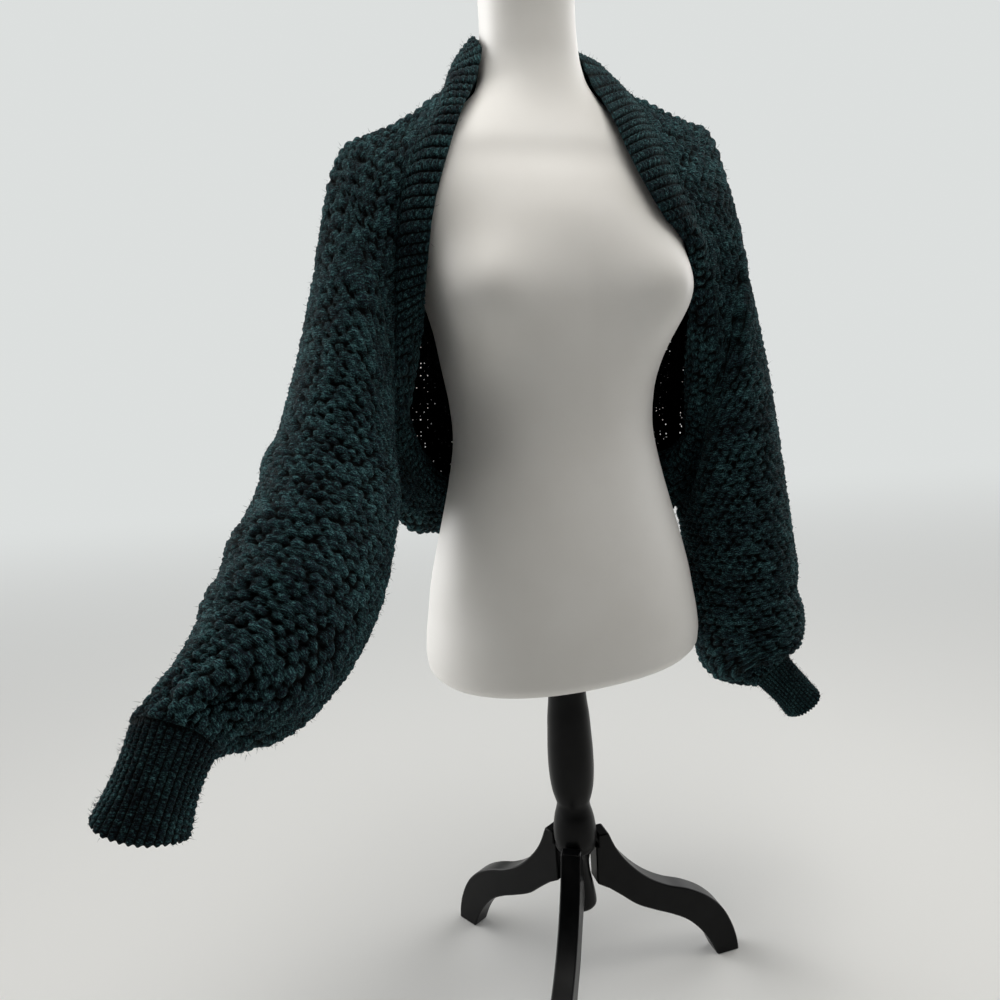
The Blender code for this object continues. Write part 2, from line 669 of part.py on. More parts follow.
def split_evenly(loops, pitch):
    """Cuts every segment of some matching closed loops into whole steps of about the pitch."""
    lead = loops[0]
    after = np.roll(lead, -1, axis=0)
    lengths = np.linalg.norm(after - lead, axis=1)
    cells = np.maximum(np.round(lengths / pitch), 1).astype(int)
    if cells.sum() % 2:
        cells[np.argmax(lengths / cells)] += 1
    segment = np.repeat(np.arange(len(lead)), cells)
    step = np.concatenate([np.arange(n) / n for n in cells])[:, None]
    return [
        loop[segment] * (1 - step) + np.roll(loop, -1, axis=0)[segment] * step for loop in loops
    ]


def make_band(body_in, body_out, turns, tree, material, parent):
    """The ribbed band: its seam edge follows the opening, its ribs stand across it."""
    middle = BODY_CELLS_A_SIDE
    at = row_places()
    left_in, left_out = turns[1]
    right_in, right_out = turns[-1]
    seam_in = closed_path(body_in[middle:, 0], left_in[::-1], body_in[::-1, -1],
                          right_in, body_in[:middle, 0])
    seam_out = closed_path(body_out[middle:, 0], left_out[::-1], body_out[::-1, -1],
                           right_out, body_out[:middle, 0])
    left_front = free_edge(LEFT_FREE_EDGE, "front", 1, at)
    left_hem = free_edge(LEFT_FREE_EDGE, "hem", 1, at)
    right_front = free_edge(RIGHT_FREE_EDGE, "front", -1, at)
    right_hem = free_edge(RIGHT_FREE_EDGE, "hem", -1, at)
    free = closed_path(
        left_front,
        strip_between(left_front[-1], left_hem[-1], CLOSING_CELLS),
        np.concatenate([left_hem[::-1], right_hem[1:]]),
        strip_between(right_hem[-1], right_front[-1], CLOSING_CELLS),
        right_front[:0:-1],
    )
    loops = split_evenly([seam_in, seam_out, free], RIB_PITCH / 2)
    seam_in, seam_out, free = [loop[::-1] for loop in loops]
    inwards = square_to_loop(free - seam_in, seam_in)
    base = np.stack([seam_in + inwards * GAP, (seam_in + free) / 2, free], axis=1)
    normals = grid_normals(base, round_i=True)
    base[:, 1] += normals[:, 1] * BAND_SWELL
    base = clear_of_form(base, tree, round_i=True, held=1)
    normals = grid_normals(base, round_i=True)
    normals[:, 1] = unit(normals[:, 1] + unit(seam_out - seam_in))
    rise = np.where(np.arange(len(base)) % 2 == 0, RIB_RISE, 0.0)[:, None, None]
    outer = base + normals * (WALL + rise)
    outer[:, 0] = seam_out + inwards * GAP
    wall("band", base, outer, material, parent, round_i=True)


def main():
    for old in list(bpy.data.objects):
        bpy.data.objects.remove(old)
    yarn = finish("knit_green", YARN_GREEN, 0.95)
    shell = finish("form_white", FORM_WHITE, 0.45)
    black = finish("stand_black", STAND_BLACK, 0.35)

    root = bpy.data.objects.new("shrug_on_form", None)
    root.location = CENTRE_SHIFT
    bpy.context.scene.collection.objects.link(root)

    torso = make_torso(shell, root)
    make_pole(black, root)
    for name, angle in LEG_ANGLES.items():
        make_leg(name, angle, black, root)

    torso.data.calc_loop_triangles()
    tree = BVHTree.FromPolygons(
        [vertex.co for vertex in torso.data.vertices],
        [tuple(triangle.vertices) for triangle in torso.data.loop_triangles],
    )

    inner = clear_of_form(body_surface(), tree)
    outer = inner + soften(grid_normals(inner)) * WALL
    wall("body", inner, outer, yarn, root, fans=True)

    turns = {}
    for side, row, step, rings, swell, cuff_end, label in (
        (-1, 0, 1, RIGHT_SLEEVE, RIGHT_HEAD_SWELL, RIGHT_CUFF_END, "right"),
        (1, -1, -2, LEFT_SLEEVE, LEFT_HEAD_SWELL, LEFT_CUFF_END, "left"),
    ):
        away = unit(inner[row] - inner[step])
        closing_in = strip_between(inner[row][-1], inner[row][0], CLOSING_CELLS)
        closing_out = strip_between(outer[row][-1], outer[row][0], CLOSING_CELLS)
        closing_away = strip_between(away[-1], away[0], CLOSING_CELLS)
        ring_in = np.concatenate([inner[row], closing_in])
        ring_out = np.concatenate([outer[row], closing_out])
        ring_away = square_to_loop(np.concatenate([away, closing_away]), ring_in)
        axis = make_sleeve(
            "sleeve_" + label, ring_in, ring_out, ring_away, rings, swell, side, yarn, root
        )
        make_cuff("cuff_" + label, rings[-1], axis, cuff_end, side, yarn, root)
        turns[side] = (closing_in, closing_out)
    make_band(inner, outer, turns, tree, yarn, root)


main()
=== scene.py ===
"""A knitted cocoon shrug on a limbless dress form and its turned stand, dressed for the eye.

Metres, +Z up. Every shape is worked out about the stand's axis (x = y = 0) and then moved to
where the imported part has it. The cloth pieces follow the same sections as their solids; the
stitches are raised from them as whole arrays.
"""

from collections import namedtuple
from functools import lru_cache

import bpy
import numpy as np
from mathutils import Matrix, Vector
from mathutils.bvhtree import BVHTree


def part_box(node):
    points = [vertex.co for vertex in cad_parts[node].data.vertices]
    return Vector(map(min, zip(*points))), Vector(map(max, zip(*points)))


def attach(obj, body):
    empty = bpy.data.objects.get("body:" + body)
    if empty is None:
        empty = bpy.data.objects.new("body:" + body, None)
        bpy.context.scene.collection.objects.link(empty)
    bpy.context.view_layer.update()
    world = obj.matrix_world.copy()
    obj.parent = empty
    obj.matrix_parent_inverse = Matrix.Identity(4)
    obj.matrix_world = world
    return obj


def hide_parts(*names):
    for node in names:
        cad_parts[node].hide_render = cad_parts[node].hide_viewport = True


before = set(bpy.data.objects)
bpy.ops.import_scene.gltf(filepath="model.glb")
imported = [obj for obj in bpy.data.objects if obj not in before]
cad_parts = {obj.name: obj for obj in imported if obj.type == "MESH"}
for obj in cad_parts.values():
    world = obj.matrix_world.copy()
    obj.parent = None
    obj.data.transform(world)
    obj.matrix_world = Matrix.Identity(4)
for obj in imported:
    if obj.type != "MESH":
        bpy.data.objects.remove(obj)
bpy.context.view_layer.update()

bl_info = {
    "name": "Knitted shrug on a dress form",
    "version": (1, 0, 0),
    "blender": (4, 5, 0),
    "location": "View3D > Sidebar > Shrug",
    "description": "Makes a knitted cocoon shrug, its dress form and stand, and a plain studio",
    "category": "Object",
}

POLE_LOW, POLE_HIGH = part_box("pole")
AXIS = np.array([(POLE_LOW[0] + POLE_HIGH[0]) / 2, (POLE_LOW[1] + POLE_HIGH[1]) / 2, 0.0])

# ---------------------------------------------------------------- sizes shared with the solids

GAP = 0.0003  # left between pieces that meet
WALL = 0.0042  # thickness of the knitted cloth
CUFF_WALL = 0.0034
REST_GAP = 0.0008  # cloth to form, where the cloth lies on it
CLEARING_PASSES = 6
CELL_SAMPLES = (0.0, 0.25, 0.5, 0.75, 1.0)


def rows_of(kind, rows):
    """Plain rows of numbers as a tuple of named ones."""
    return tuple(kind(*row) for row in rows)


FormRing = namedtuple("FormRing", "z half_width front back")
FORM_RINGS = rows_of(FormRing, (
    (0.4570, 0.154, 0.111, 0.103),
    (0.4620, 0.160, 0.115, 0.107),
    (0.4760, 0.164, 0.118, 0.110),
    (0.5000, 0.163, 0.119, 0.111),
    (0.5300, 0.158, 0.118, 0.110),
    (0.5600, 0.153, 0.115, 0.107),
    (0.6000, 0.143, 0.110, 0.101),
    (0.6400, 0.132, 0.104, 0.092),
    (0.6800, 0.122, 0.098, 0.083),
    (0.7200, 0.115, 0.094, 0.076),
    (0.7600, 0.116, 0.098, 0.074),
    (0.8000, 0.122, 0.105, 0.075),
    (0.8400, 0.128, 0.110, 0.079),
    (0.8700, 0.136, 0.112, 0.084),
    (0.9000, 0.148, 0.109, 0.089),
    (0.9400, 0.165, 0.099, 0.094),
    (0.9700, 0.174, 0.086, 0.095),
    (1.0000, 0.171, 0.071, 0.092),
    (1.0200, 0.155, 0.0635, 0.086),
    (1.0350, 0.129, 0.0572, 0.081),
    (1.0500, 0.102, 0.0512, 0.077),
    (1.0650, 0.079, 0.0462, 0.074),
    (1.0800, 0.0635, 0.0425, 0.070),
    (1.1000, 0.0550, 0.0392, 0.066),
    (1.1300, 0.0508, 0.0385, 0.0615),
    (1.1960, 0.0500, 0.0430, 0.057),
    (1.2000, 0.0465, 0.0400, 0.054),
))
FORM_ROUNDNESS = 2.25  # 2 is an ellipse, more is squarer
BUST_X = 0.100
BUST_Z = 0.862
BUST_RISE = 0.032
BUST_SPREAD_X = 0.052
BUST_SPREAD_Z = 0.052
BUST_TURN = 35  # degrees that each side of the bust turns outwards
BUST_FACING = 2.2  # how fast the bust fades in from the side of the form to its front
BUST_PARTING = 0.02  # half width of the strip over which the push turns from side to side

# ---------------------------------------------------------------- the stand

POLE_PROFILE = (  # (radius, z), top to bottom
    (0.0220, 0.4567),
    (0.0236, 0.3960),
    (0.0253, 0.3810),
    (0.0266, 0.3580),
    (0.0278, 0.3310),
    (0.0278, 0.3120),
    (0.0269, 0.2960),
    (0.0248, 0.2810),
    (0.0222, 0.2710),
    (0.0203, 0.2640),
    (0.0213, 0.2570),
    (0.0235, 0.2490),
    (0.0256, 0.2370),
    (0.0265, 0.2250),
    (0.0260, 0.2160),
    (0.0250, 0.2100),
    (0.0250, 0.2060),
    (0.0225, 0.2030),
    (0.0225, 0.1280),
)
HUB_RADIUS = 0.0225
HUB_TOP = 0.2030
COLLAR_RADIUS = 0.0262  # the pole just above the hub, which each leg is notched round
LEG_ROOT_RISE = 0.010
LEG_THICKNESS = 0.024
LEG_ANGLES = {"leg_left": -4.5, "leg_back": 115.5, "leg_front": 235.5}  # degrees round from +X
LEG_TOP = (  # (distance from the axis, z) from the pole out to the toe
    (0.040, 0.2180),
    (0.052, 0.1900),
    (0.072, 0.1620),
    (0.096, 0.1390),
    (0.121, 0.1230),
    (0.150, 0.1100),
    (0.176, 0.0930),
    (0.197, 0.0710),
    (0.212, 0.0430),
    (0.220, 0.0160),
    (0.222, 0.0000),
)
LEG_UNDERSIDE = (  # back from the heel to the pole
    (0.190, 0.0000),
    (0.178, 0.0260),
    (0.164, 0.0470),
    (0.148, 0.0640),
    (0.126, 0.0790),
    (0.100, 0.0930),
    (0.075, 0.1080),
    (0.054, 0.1270),
    (0.038, 0.1410),
)

# ---------------------------------------------------------------- the cloth's sections

# One row for each section of the panel, from the middle of the back out to the armhole. Each
# section starts at the neckline or front edge (seam), goes over the shoulder (ridge), down the
# back (blade, back, low), round the bottom fold and up to the hem's edge. x is outwards.
Section = namedtuple("Section", "at seam front ridge blade back low fold hem")
RIGHT_SECTIONS = rows_of(Section, (
    (0.00, (0.000, 0.080, 1.098), (0.000, 0.086, 1.088), (0.000, 0.092, 1.075),
     (0.000, 0.112, 0.985), (0.000, 0.125, 0.850), (0.000, 0.146, 0.700),
     (0.000, 0.138, 0.585), (0.000, 0.115, 0.600)),
    (0.15, (0.056, 0.062, 1.099), (0.056, 0.070, 1.090), (0.056, 0.078, 1.077),
     (0.035, 0.112, 0.985), (0.035, 0.125, 0.850), (0.037, 0.146, 0.700),
     (0.035, 0.137, 0.586), (0.033, 0.114, 0.602)),
    (0.30, (0.085, 0.018, 1.083), (0.088, 0.026, 1.078), (0.090, 0.036, 1.070),
     (0.068, 0.110, 0.985), (0.070, 0.124, 0.850), (0.074, 0.146, 0.700),
     (0.070, 0.133, 0.595), (0.065, 0.110, 0.611)),
    (0.45, (0.113, -0.024, 1.046), (0.118, -0.008, 1.051), (0.120, 0.012, 1.048),
     (0.100, 0.104, 0.982), (0.104, 0.122, 0.850), (0.108, 0.145, 0.702),
     (0.100, 0.125, 0.603), (0.093, 0.100, 0.624)),
    (0.60, (0.148, -0.048, 1.000), (0.150, -0.028, 1.020), (0.149, 0.006, 1.034),
     (0.130, 0.094, 0.978), (0.134, 0.118, 0.848), (0.139, 0.141, 0.705),
     (0.125, 0.112, 0.611), (0.118, 0.085, 0.640)),
    (0.75, (0.168, -0.048, 0.943), (0.172, -0.044, 0.988), (0.176, 0.004, 1.026),
     (0.162, 0.080, 0.970), (0.166, 0.112, 0.843), (0.170, 0.134, 0.710),
     (0.150, 0.090, 0.618), (0.145, 0.055, 0.662)),
    (0.88, (0.178, -0.040, 0.880), (0.187, -0.050, 0.950), (0.198, 0.004, 1.018),
     (0.188, 0.062, 0.958), (0.194, 0.100, 0.833), (0.194, 0.120, 0.715),
     (0.167, 0.068, 0.640), (0.165, 0.025, 0.698)),
    (1.00, (0.192, -0.043, 0.790), (0.203, -0.058, 0.900), (0.212, 0.002, 0.996),
     (0.208, 0.045, 0.928), (0.218, 0.085, 0.812), (0.214, 0.095, 0.715),
     (0.184, 0.045, 0.661), (0.188, -0.012, 0.748)),
))
LEFT_SECTIONS = RIGHT_SECTIONS[:2] + rows_of(Section, (
    (0.30, (0.100, 0.024, 1.096), (0.102, 0.031, 1.089), (0.103, 0.040, 1.079),
     (0.068, 0.110, 0.985), (0.070, 0.124, 0.850), (0.074, 0.146, 0.700),
     (0.070, 0.133, 0.590), (0.065, 0.110, 0.608)),
    (0.45, (0.111, -0.012, 1.074), (0.119, -0.001, 1.074), (0.123, 0.014, 1.069),
     (0.100, 0.104, 0.985), (0.104, 0.122, 0.850), (0.108, 0.145, 0.702),
     (0.102, 0.125, 0.593), (0.095, 0.100, 0.618)),
    (0.60, (0.114, -0.062, 1.010), (0.138, -0.034, 1.044), (0.152, 0.004, 1.056),
     (0.134, 0.094, 0.986), (0.136, 0.118, 0.848), (0.140, 0.141, 0.705),
     (0.130, 0.112, 0.597), (0.122, 0.085, 0.635)),
    (0.75, (0.132, -0.078, 0.953), (0.162, -0.054, 1.008), (0.180, -0.002, 1.050),
     (0.167, 0.080, 0.984), (0.170, 0.112, 0.845), (0.172, 0.134, 0.710),
     (0.162, 0.090, 0.600), (0.156, 0.055, 0.642)),
    (0.88, (0.158, -0.078, 0.890), (0.184, -0.062, 0.968), (0.203, -0.006, 1.045),
     (0.196, 0.062, 0.974), (0.199, 0.100, 0.837), (0.198, 0.120, 0.715),
     (0.186, 0.068, 0.604), (0.178, 0.022, 0.650)),
    (1.00, (0.180, -0.060, 0.790), (0.202, -0.068, 0.905), (0.213, -0.008, 1.022),
     (0.214, 0.040, 0.944), (0.224, 0.080, 0.815), (0.221, 0.092, 0.700),
     (0.198, 0.045, 0.613), (0.191, -0.016, 0.690)),
))
SPAN_CELLS = (3, 4, 4, 4, 4, 5, 4)  # cells of the grid between neighbouring columns above
CLOSING_CELLS = 4  # cells of a sleeve's first ring that lie along the band's underarm turn
BODY_CELLS_A_SIDE = 14
CROWDING = 0.6  # how much closer the panel's rows lie at the armhole than in the middle

# The band's free edge: x outwards, at the same places as the section rows, then the hem's.
FreeEdge = namedtuple("FreeEdge", "at front hem")
RIGHT_FREE_EDGE = rows_of(FreeEdge, (
    (0.00, (0.000, 0.066, 1.147), (0.000, 0.108, 0.643)),
    (0.15, (0.043, 0.047, 1.147), (0.030, 0.108, 0.645)),
    (0.30, (0.058, 0.006, 1.128), (0.060, 0.102, 0.652)),
    (0.45, (0.087, -0.042, 1.064), (0.087, 0.094, 0.662)),
    (0.60, (0.116, -0.060, 1.006), (0.112, 0.078, 0.676)),
    (0.75, (0.140, -0.070, 0.945), (0.141, 0.050, 0.707)),
    (0.88, (0.149, -0.060, 0.890), (0.158, 0.028, 0.735)),
    (1.00, (0.154, -0.030, 0.836), (0.165, 0.014, 0.757)),
))
LEFT_FREE_EDGE = RIGHT_FREE_EDGE[:2] + rows_of(FreeEdge, (
    (0.30, (0.060, 0.004, 1.124), (0.060, 0.104, 0.652)),
    (0.45, (0.058, -0.050, 1.056), (0.088, 0.091, 0.660)),
    (0.60, (0.067, -0.079, 0.996), (0.116, 0.074, 0.670)),
    (0.75, (0.088, -0.096, 0.941), (0.151, 0.050, 0.676)),
    (0.88, (0.140, -0.074, 0.889), (0.173, 0.024, 0.685)),
    (1.00, (0.168, -0.021, 0.784), (0.183, 0.003, 0.705)),
))
RIB_PITCH = 0.0108
BAND_SWELL = 0.006  # how far the middle of the band stands out from a straight line across it

# One row for each ring of a sleeve below the armhole. across and tilt turn the ring's long
# side, in degrees: across from +X in plan, tilt downwards from outer to inner.
SleeveRing = namedtuple("SleeveRing", "along centre across tilt half_width half_depth")
RIGHT_SLEEVE = rows_of(SleeveRing, (
    (0.46, (0.261, -0.054, 0.680), 20, 28, 0.061, 0.082),
    (0.60, (0.296, -0.102, 0.619), 20, 23, 0.064, 0.079),
    (0.74, (0.334, -0.140, 0.571), 20, 22, 0.058, 0.070),
    (0.87, (0.370, -0.172, 0.549), 20, 24, 0.046, 0.054),
    (0.95, (0.398, -0.187, 0.545), 20, 22, 0.032, 0.038),
    (1.00, (0.412, -0.194, 0.538), 20, 18, 0.029, 0.030),
))
LEFT_SLEEVE = rows_of(SleeveRing, (
    (0.45, (0.242, -0.003, 0.601), -20, 28, 0.064, 0.079),
    (0.61, (0.2475, -0.008, 0.515), -20, 10, 0.063, 0.076),
    (0.76, (0.2515, -0.016, 0.446), -20, 6, 0.063, 0.071),
    (0.89, (0.2555, -0.026, 0.407), -20, 20, 0.052, 0.058),
    (0.96, (0.2600, -0.037, 0.401), -20, 36, 0.031, 0.037),
    (1.00, (0.266, -0.045, 0.397), -20, 41, 0.022, 0.025),
))
# Where each column of the sections lies round a sleeve ring, in degrees from its outer side.
COLUMN_ANGLES = (142, 82, 12, -38, -82, -122, -164, -196)
CLOSING_ANGLE = -218  # the seam column again, once round
SLEEVE_LEAD = 0.012  # how far the sleeve carries on from the armhole before it turns down
SLEEVE_LEAD_AT = 0.06
RIGHT_HEAD_SWELL = -0.007  # how far the outer side stands out between the armhole and the arm
LEFT_HEAD_SWELL = 0.010
RIGHT_CUFF_END = SleeveRing(1.13, (0.444, -0.197, 0.476), 20, 21, 0.032, 0.029)
LEFT_CUFF_END = SleeveRing(1.10, (0.302, -0.060, 0.351), -20, 42, 0.021, 0.024)
CUFF_RIBS = 32

# ---------------------------------------------------------------- how finely the knit is cut

BODY_ROWS = 209  # points across the back, from one armhole to the other
BODY_COLUMNS = 289  # points from the neckline over the shoulder and down to the hem
CLOSING_POINTS = 15  # points of a sleeve's ring along the band's underarm turn
SLEEVE_ROWS = 205
RIB_POINTS = 10  # points along the opening's edge for each rib of the band
BAND_COLUMNS = 29
CUFF_RIB_POINTS = 10
CUFF_ROWS = 51
FINE_SOFTENING = 14  # how often fine normals are averaged

# ---------------------------------------------------------------- sizes of the stitches

LAYOUT_STRIDE = 4  # points of a fine grid to one of the grid where stitches are laid out
LAYOUT_STEPS = 260  # of the search for how the stitches lie
WANDER = (0.16, 0.12)  # how far rows wander, in stitches: broad waves, then mild ones

# The bumpy knit
STITCH_WIDTH = 0.0100  # across the cloth
STITCH_HEIGHT = 0.0084  # from a row to the next, half a stitch along
BUMP_HALF_WIDTH = 0.54  # in stitches, as are the six below
BUMP_HALF_HEIGHT = 0.62
BUMP_ARCH = 0.16  # how much a bump's ends hang below its middle
ARCH_MIDDLE = 0.3  # share of the arch by which the whole bump is lifted to stay about its place
BUMP_SLIDE = 0.22  # range of places to the side
BUMP_LIFT = 0.30  # range of places up and down
SIZE_RANGE = (0.86, 0.26)  # least size of a bump, and how much bigger it may be
DOME_LEAST = 0.35  # share of a bump's height that doesn't follow its size
BUMP_RISE = 0.0065
PIT_THICKNESS = 0.0014  # cloth left at the bottom of a pit
BACK_RISE = 0.0010  # height of the bumps on the cloth's inner side
INNER_SHADE_SHARE = 0.45  # painted shade on the cloth's inner side: how pale a pit is from there, where it is a bump
EDGE_LEVEL = 0.70  # height of the knit along a seam, as a share of a bump
EDGE_FADE = 0.003

# Pits that light comes through
PIT_PLACES = (0.17, 0.83)  # where in its row a pit lies
PIT_REACH = 0.0045  # how far the nearest cell may be
HOLE_RADIUS = (0.0008, 0.0015)
HOLE_STRAY = 0.36  # how far a hole may stray from its pit, in stitches
HOLE_SHARE = 0.72  # share of the pits that are open, where any are
HOLE_SHADE_LEVEL = 0.5  # painted shade down a hole: how pale its rim is, as a share of the knit round it
HOLES_BEHIND = {"knit_body": 0.055, "knit_sleeve_left": 0.035}  # this far back of the axis
HOLES_BESIDE = 0.065  # and this far to either side of it
HOLES_BETWEEN = (0.60, 0.87)  # heights

# Ribs
RIB_DEPTH = 0.0046
RIB_FLOOR = 0.0016
RIB_BACK = 0.0012  # how far the band's grooves are pressed in on its inner side
RIB_STITCH = 0.0062  # length of one stitch along a rib
RIB_BREADTH = 0.96  # at 1 a groove would go down to the floor
V_SLANT = 0.55  # how far a stitch's sides lag behind its middle, in stitches
NOTCH = 0.44  # how deep the notch between two V stitches is, as a share of the rib
DIMPLE = (0.10, 0.16)  # depth and half width of the line down the middle of a rib
RIBS_FADE = {"right": (0.80, 0.87), "left": (0.90, 0.96)}  # heights where ribs go and are whole
RIBS_LEAST = 0.12
RIM_FADE = 0.003  # how near an edge the stitches die away
RIM_ROUND = 0.0032  # how far in from it the band's free edge is rounded
RIM_SHARE = 0.9  # of the rounding, on the inner side
BAND_SEAM_LEAN = 0.25  # share of the band's width over which its normals turn from the seam's
CUFF_RIB_DEPTH = 0.0038
CUFF_RIB_FLOOR = 0.0016
CUFF_STITCH = 0.0056
CUFF_SCALLOP = 0.0010  # how far each rib reaches past its grooves at the mouth
CUFF_SCALLOP_FROM = 0.8  # share of the cuff's length
CUFF_EDGE_LEVEL = 0.35
CUFF_RIM_ROUND = 0.0022
CUFF_LATTICE = 0.006  # width of a rib, as the yarn's texture takes it
CUFF_INNER_SHADE_SHARE = 0.7  # painted shade inside the cuff: how pale its inner side is, as a share of the outer

# Seams
SLEEVE_JOIN = -190  # degrees round the ring to where a sleeve's own seam runs
SLEEVE_STEPS = 120  # of the rough sleeve that is cut evenly
ARM_SOFTENING = 60  # how often the arm's direction is averaged
LAP_OVER = 0.0011  # how far one piece's outer side laps over its neighbour's at a seam
LAP_LIFT = 0.0003
CUFF_LAP = 0.0022
CUFF_LIFT = 0.0012
COLLAR_HEIGHTS = (1.03, 1.085)  # between these the collar's edge comes in to the neck
COLLAR_GAP = 0.0012
COLLAR_PULL = 0.009

# Loose fibres
HAIRS = {
    "body": 11000, "sleeve_right": 12000, "sleeve_left": 10000, "band": 6000, "cuff": 1800,
}
HAIR_ROOTS = 0.45  # they leave the knit above this height
HAIR_DEPTH = 0.0006  # how deep their roots lie
HAIR_SPREAD = 0.0012
HAIR_LEAN = (0.7, 0.6)  # shares of the knit's normal and of a random way in a fibre's own
HAIR_LENGTH = (0.0022, 0.0062)
HAIR_POWER = 2.5  # how much commoner short fibres are
HAIR_WIDTH = (0.00014, 0.00026)
HAIR_LIGHT_LEVEL = 0.8  # painted light on the fibres: how pale they are, as a height of the knit

# ---------------------------------------------------------------- folds placed one by one

Crease = namedtuple("Crease", "start bend end width depth")  # (row share, column share) places
Gather = namedtuple("Gather", "place width depth start peak lean")  # place, width: shares round

BODY_CREASES = rows_of(Crease, (
    ((0.30, 0.62), (0.42, 0.72), (0.60, 0.70), 0.022, -0.0060),
    ((0.70, 0.60), (0.60, 0.74), (0.44, 0.80), 0.020, -0.0050),
    ((0.22, 0.46), (0.30, 0.60), (0.28, 0.78), 0.018, -0.0055),
    ((0.80, 0.44), (0.72, 0.58), (0.75, 0.80), 0.018, -0.0055),
    ((0.36, 0.50), (0.50, 0.56), (0.66, 0.48), 0.026, 0.0040),
    ((0.14, 0.36), (0.20, 0.52), (0.16, 0.70), 0.014, 0.0045),
    ((0.87, 0.36), (0.81, 0.54), (0.86, 0.72), 0.014, 0.0045),
))
RIGHT_CREASES = rows_of(Crease, (
    ((0.14, 0.20), (0.36, 0.26), (0.66, 0.24), 0.012, -0.0050),
    ((0.10, 0.27), (0.36, 0.33), (0.70, 0.31), 0.013, 0.0040),
    ((0.16, 0.96), (0.34, 0.05), (0.52, 0.08), 0.016, -0.0060),
    ((0.20, 0.50), (0.42, 0.56), (0.66, 0.48), 0.018, -0.0060),
    ((0.30, 0.70), (0.46, 0.74), (0.72, 0.66), 0.018, -0.0050),
    ((0.52, 0.05), (0.60, 0.14), (0.64, 0.22), 0.014, -0.0040),
    ((0.66, 0.02), (0.72, 0.12), (0.74, 0.24), 0.013, -0.0045),
))
LEFT_CREASES = rows_of(Crease, (
    ((0.12, 0.16), (0.34, 0.20), (0.60, 0.16), 0.016, -0.0045),
    ((0.18, 0.30), (0.42, 0.36), (0.66, 0.34), 0.018, -0.0050),
    ((0.14, 0.48), (0.40, 0.56), (0.70, 0.50), 0.020, -0.0060),
    ((0.24, 0.68), (0.46, 0.72), (0.68, 0.64), 0.016, -0.0050),
    ((0.62, 0.02), (0.70, 0.12), (0.74, 0.24), 0.015, -0.0050),
    ((0.74, 0.30), (0.78, 0.42), (0.76, 0.52), 0.014, -0.0040),
))
RIGHT_GATHERS = rows_of(Gather, (
    (0.02, 0.026, -0.0070, 0.70, 0.93, 0.10),
    (0.11, 0.022, -0.0080, 0.74, 0.93, -0.08),
    (0.21, 0.028, -0.0070, 0.66, 0.93, 0.12),
    (0.30, 0.020, -0.0060, 0.76, 0.94, -0.05),
    (0.40, 0.026, -0.0080, 0.68, 0.93, 0.08),
    (0.52, 0.024, -0.0070, 0.72, 0.93, -0.10),
    (0.63, 0.026, -0.0070, 0.70, 0.93, 0.06),
    (0.75, 0.022, -0.0060, 0.74, 0.94, -0.06),
    (0.88, 0.026, -0.0070, 0.69, 0.93, 0.09),
))
LEFT_GATHERS = rows_of(Gather, (
    (0.04, 0.024, -0.0065, 0.72, 0.93, -0.08),
    (0.13, 0.022, -0.0070, 0.70, 0.93, 0.10),
    (0.24, 0.026, -0.0070, 0.68, 0.93, -0.06),
    (0.34, 0.022, -0.0060, 0.75, 0.94, 0.08),
    (0.45, 0.026, -0.0075, 0.69, 0.93, -0.10),
    (0.57, 0.024, -0.0065, 0.73, 0.93, 0.05),
    (0.68, 0.026, -0.0070, 0.70, 0.93, -0.08),
    (0.80, 0.022, -0.0060, 0.76, 0.94, 0.07),
    (0.92, 0.026, -0.0065, 0.71, 0.93, -0.05),
))
CREASE_STEPS = 25  # along each crease's curve
CREASE_POWER = 0.6  # under 1 a crease keeps its depth nearly to its ends
GATHER_POWER = 1.4  # over 1 a gather starts softly
GATHER_CLOSE = 0.045  # share of the sleeve, next to the cuff, over which the gathers close
CUFF_WAIST = {"right": 0.0030, "left": 0.0015}
CUFF_RIPPLE = 0.0012
CUFF_RIPPLE_FROM = 0.55  # share of the cuff's length

# ---------------------------------------------------------------- curves and grids


def unit(vectors):
    """Each vector divided by its length."""
    return vectors / np.linalg.norm(vectors, axis=-1, keepdims=True)


def smooth_through(knots, values, at):
    """A cubic through each row of values, its slope at a row the mean of the chords beside it."""
    knots = np.asarray(knots, float)
    values = np.asarray(values, float)
    at = np.asarray(at, float)
    steps = np.diff(knots)
    wide = (-1,) + (1,) * (values.ndim - 1)
    chords = np.diff(values, axis=0) / steps.reshape(wide)
    slopes = np.empty_like(values)
    slopes[0] = chords[0]
    slopes[-1] = chords[-1]
    before = steps[:-1].reshape(wide)
    after = steps[1:].reshape(wide)
    slopes[1:-1] = (after * chords[:-1] + before * chords[1:]) / (before + after)
    cell = np.clip(np.searchsorted(knots, at, side="right") - 1, 0, len(steps) - 1)
    step = steps[cell].reshape(wide)
    t = ((at - knots[cell]) / steps[cell]).reshape(wide)
    start = values[cell]
    end = values[cell + 1]
    leave = slopes[cell] * step
    arrive = slopes[cell + 1] * step
    return (
        (2 * t**3 - 3 * t**2 + 1) * start
        + (t**3 - 2 * t**2 + t) * leave
        + (3 * t**2 - 2 * t**3) * end
        + (t**3 - t**2) * arrive
    )


def mirrored_curve(knots, values, at, side):
    """Smooth points on one side of the body: x is outwards, and side is +1 or -1."""
    points = smooth_through(knots, values, at)
    points[..., 0] *= side
    return points


def section_points(rows, at, side):
    """Control points of the sections at the given places."""
    return mirrored_curve([row.at for row in rows], [row[1:] for row in rows], at, side)


def free_edge(rows, column, at, side):
    """Points of the band's free edge at the given places."""
    values = [getattr(row, column) for row in rows]
    return mirrored_curve([row.at for row in rows], values, at, side)


def walked_curve(points, count):
    """Points spread evenly by walked length along a smooth line through the given ones."""
    points = np.array(points)
    steps = np.linalg.norm(np.diff(points, axis=0), axis=1)
    walked = np.concatenate([[0.0], np.cumsum(steps)])
    return smooth_through(walked, points, np.linspace(0, walked[-1], count))


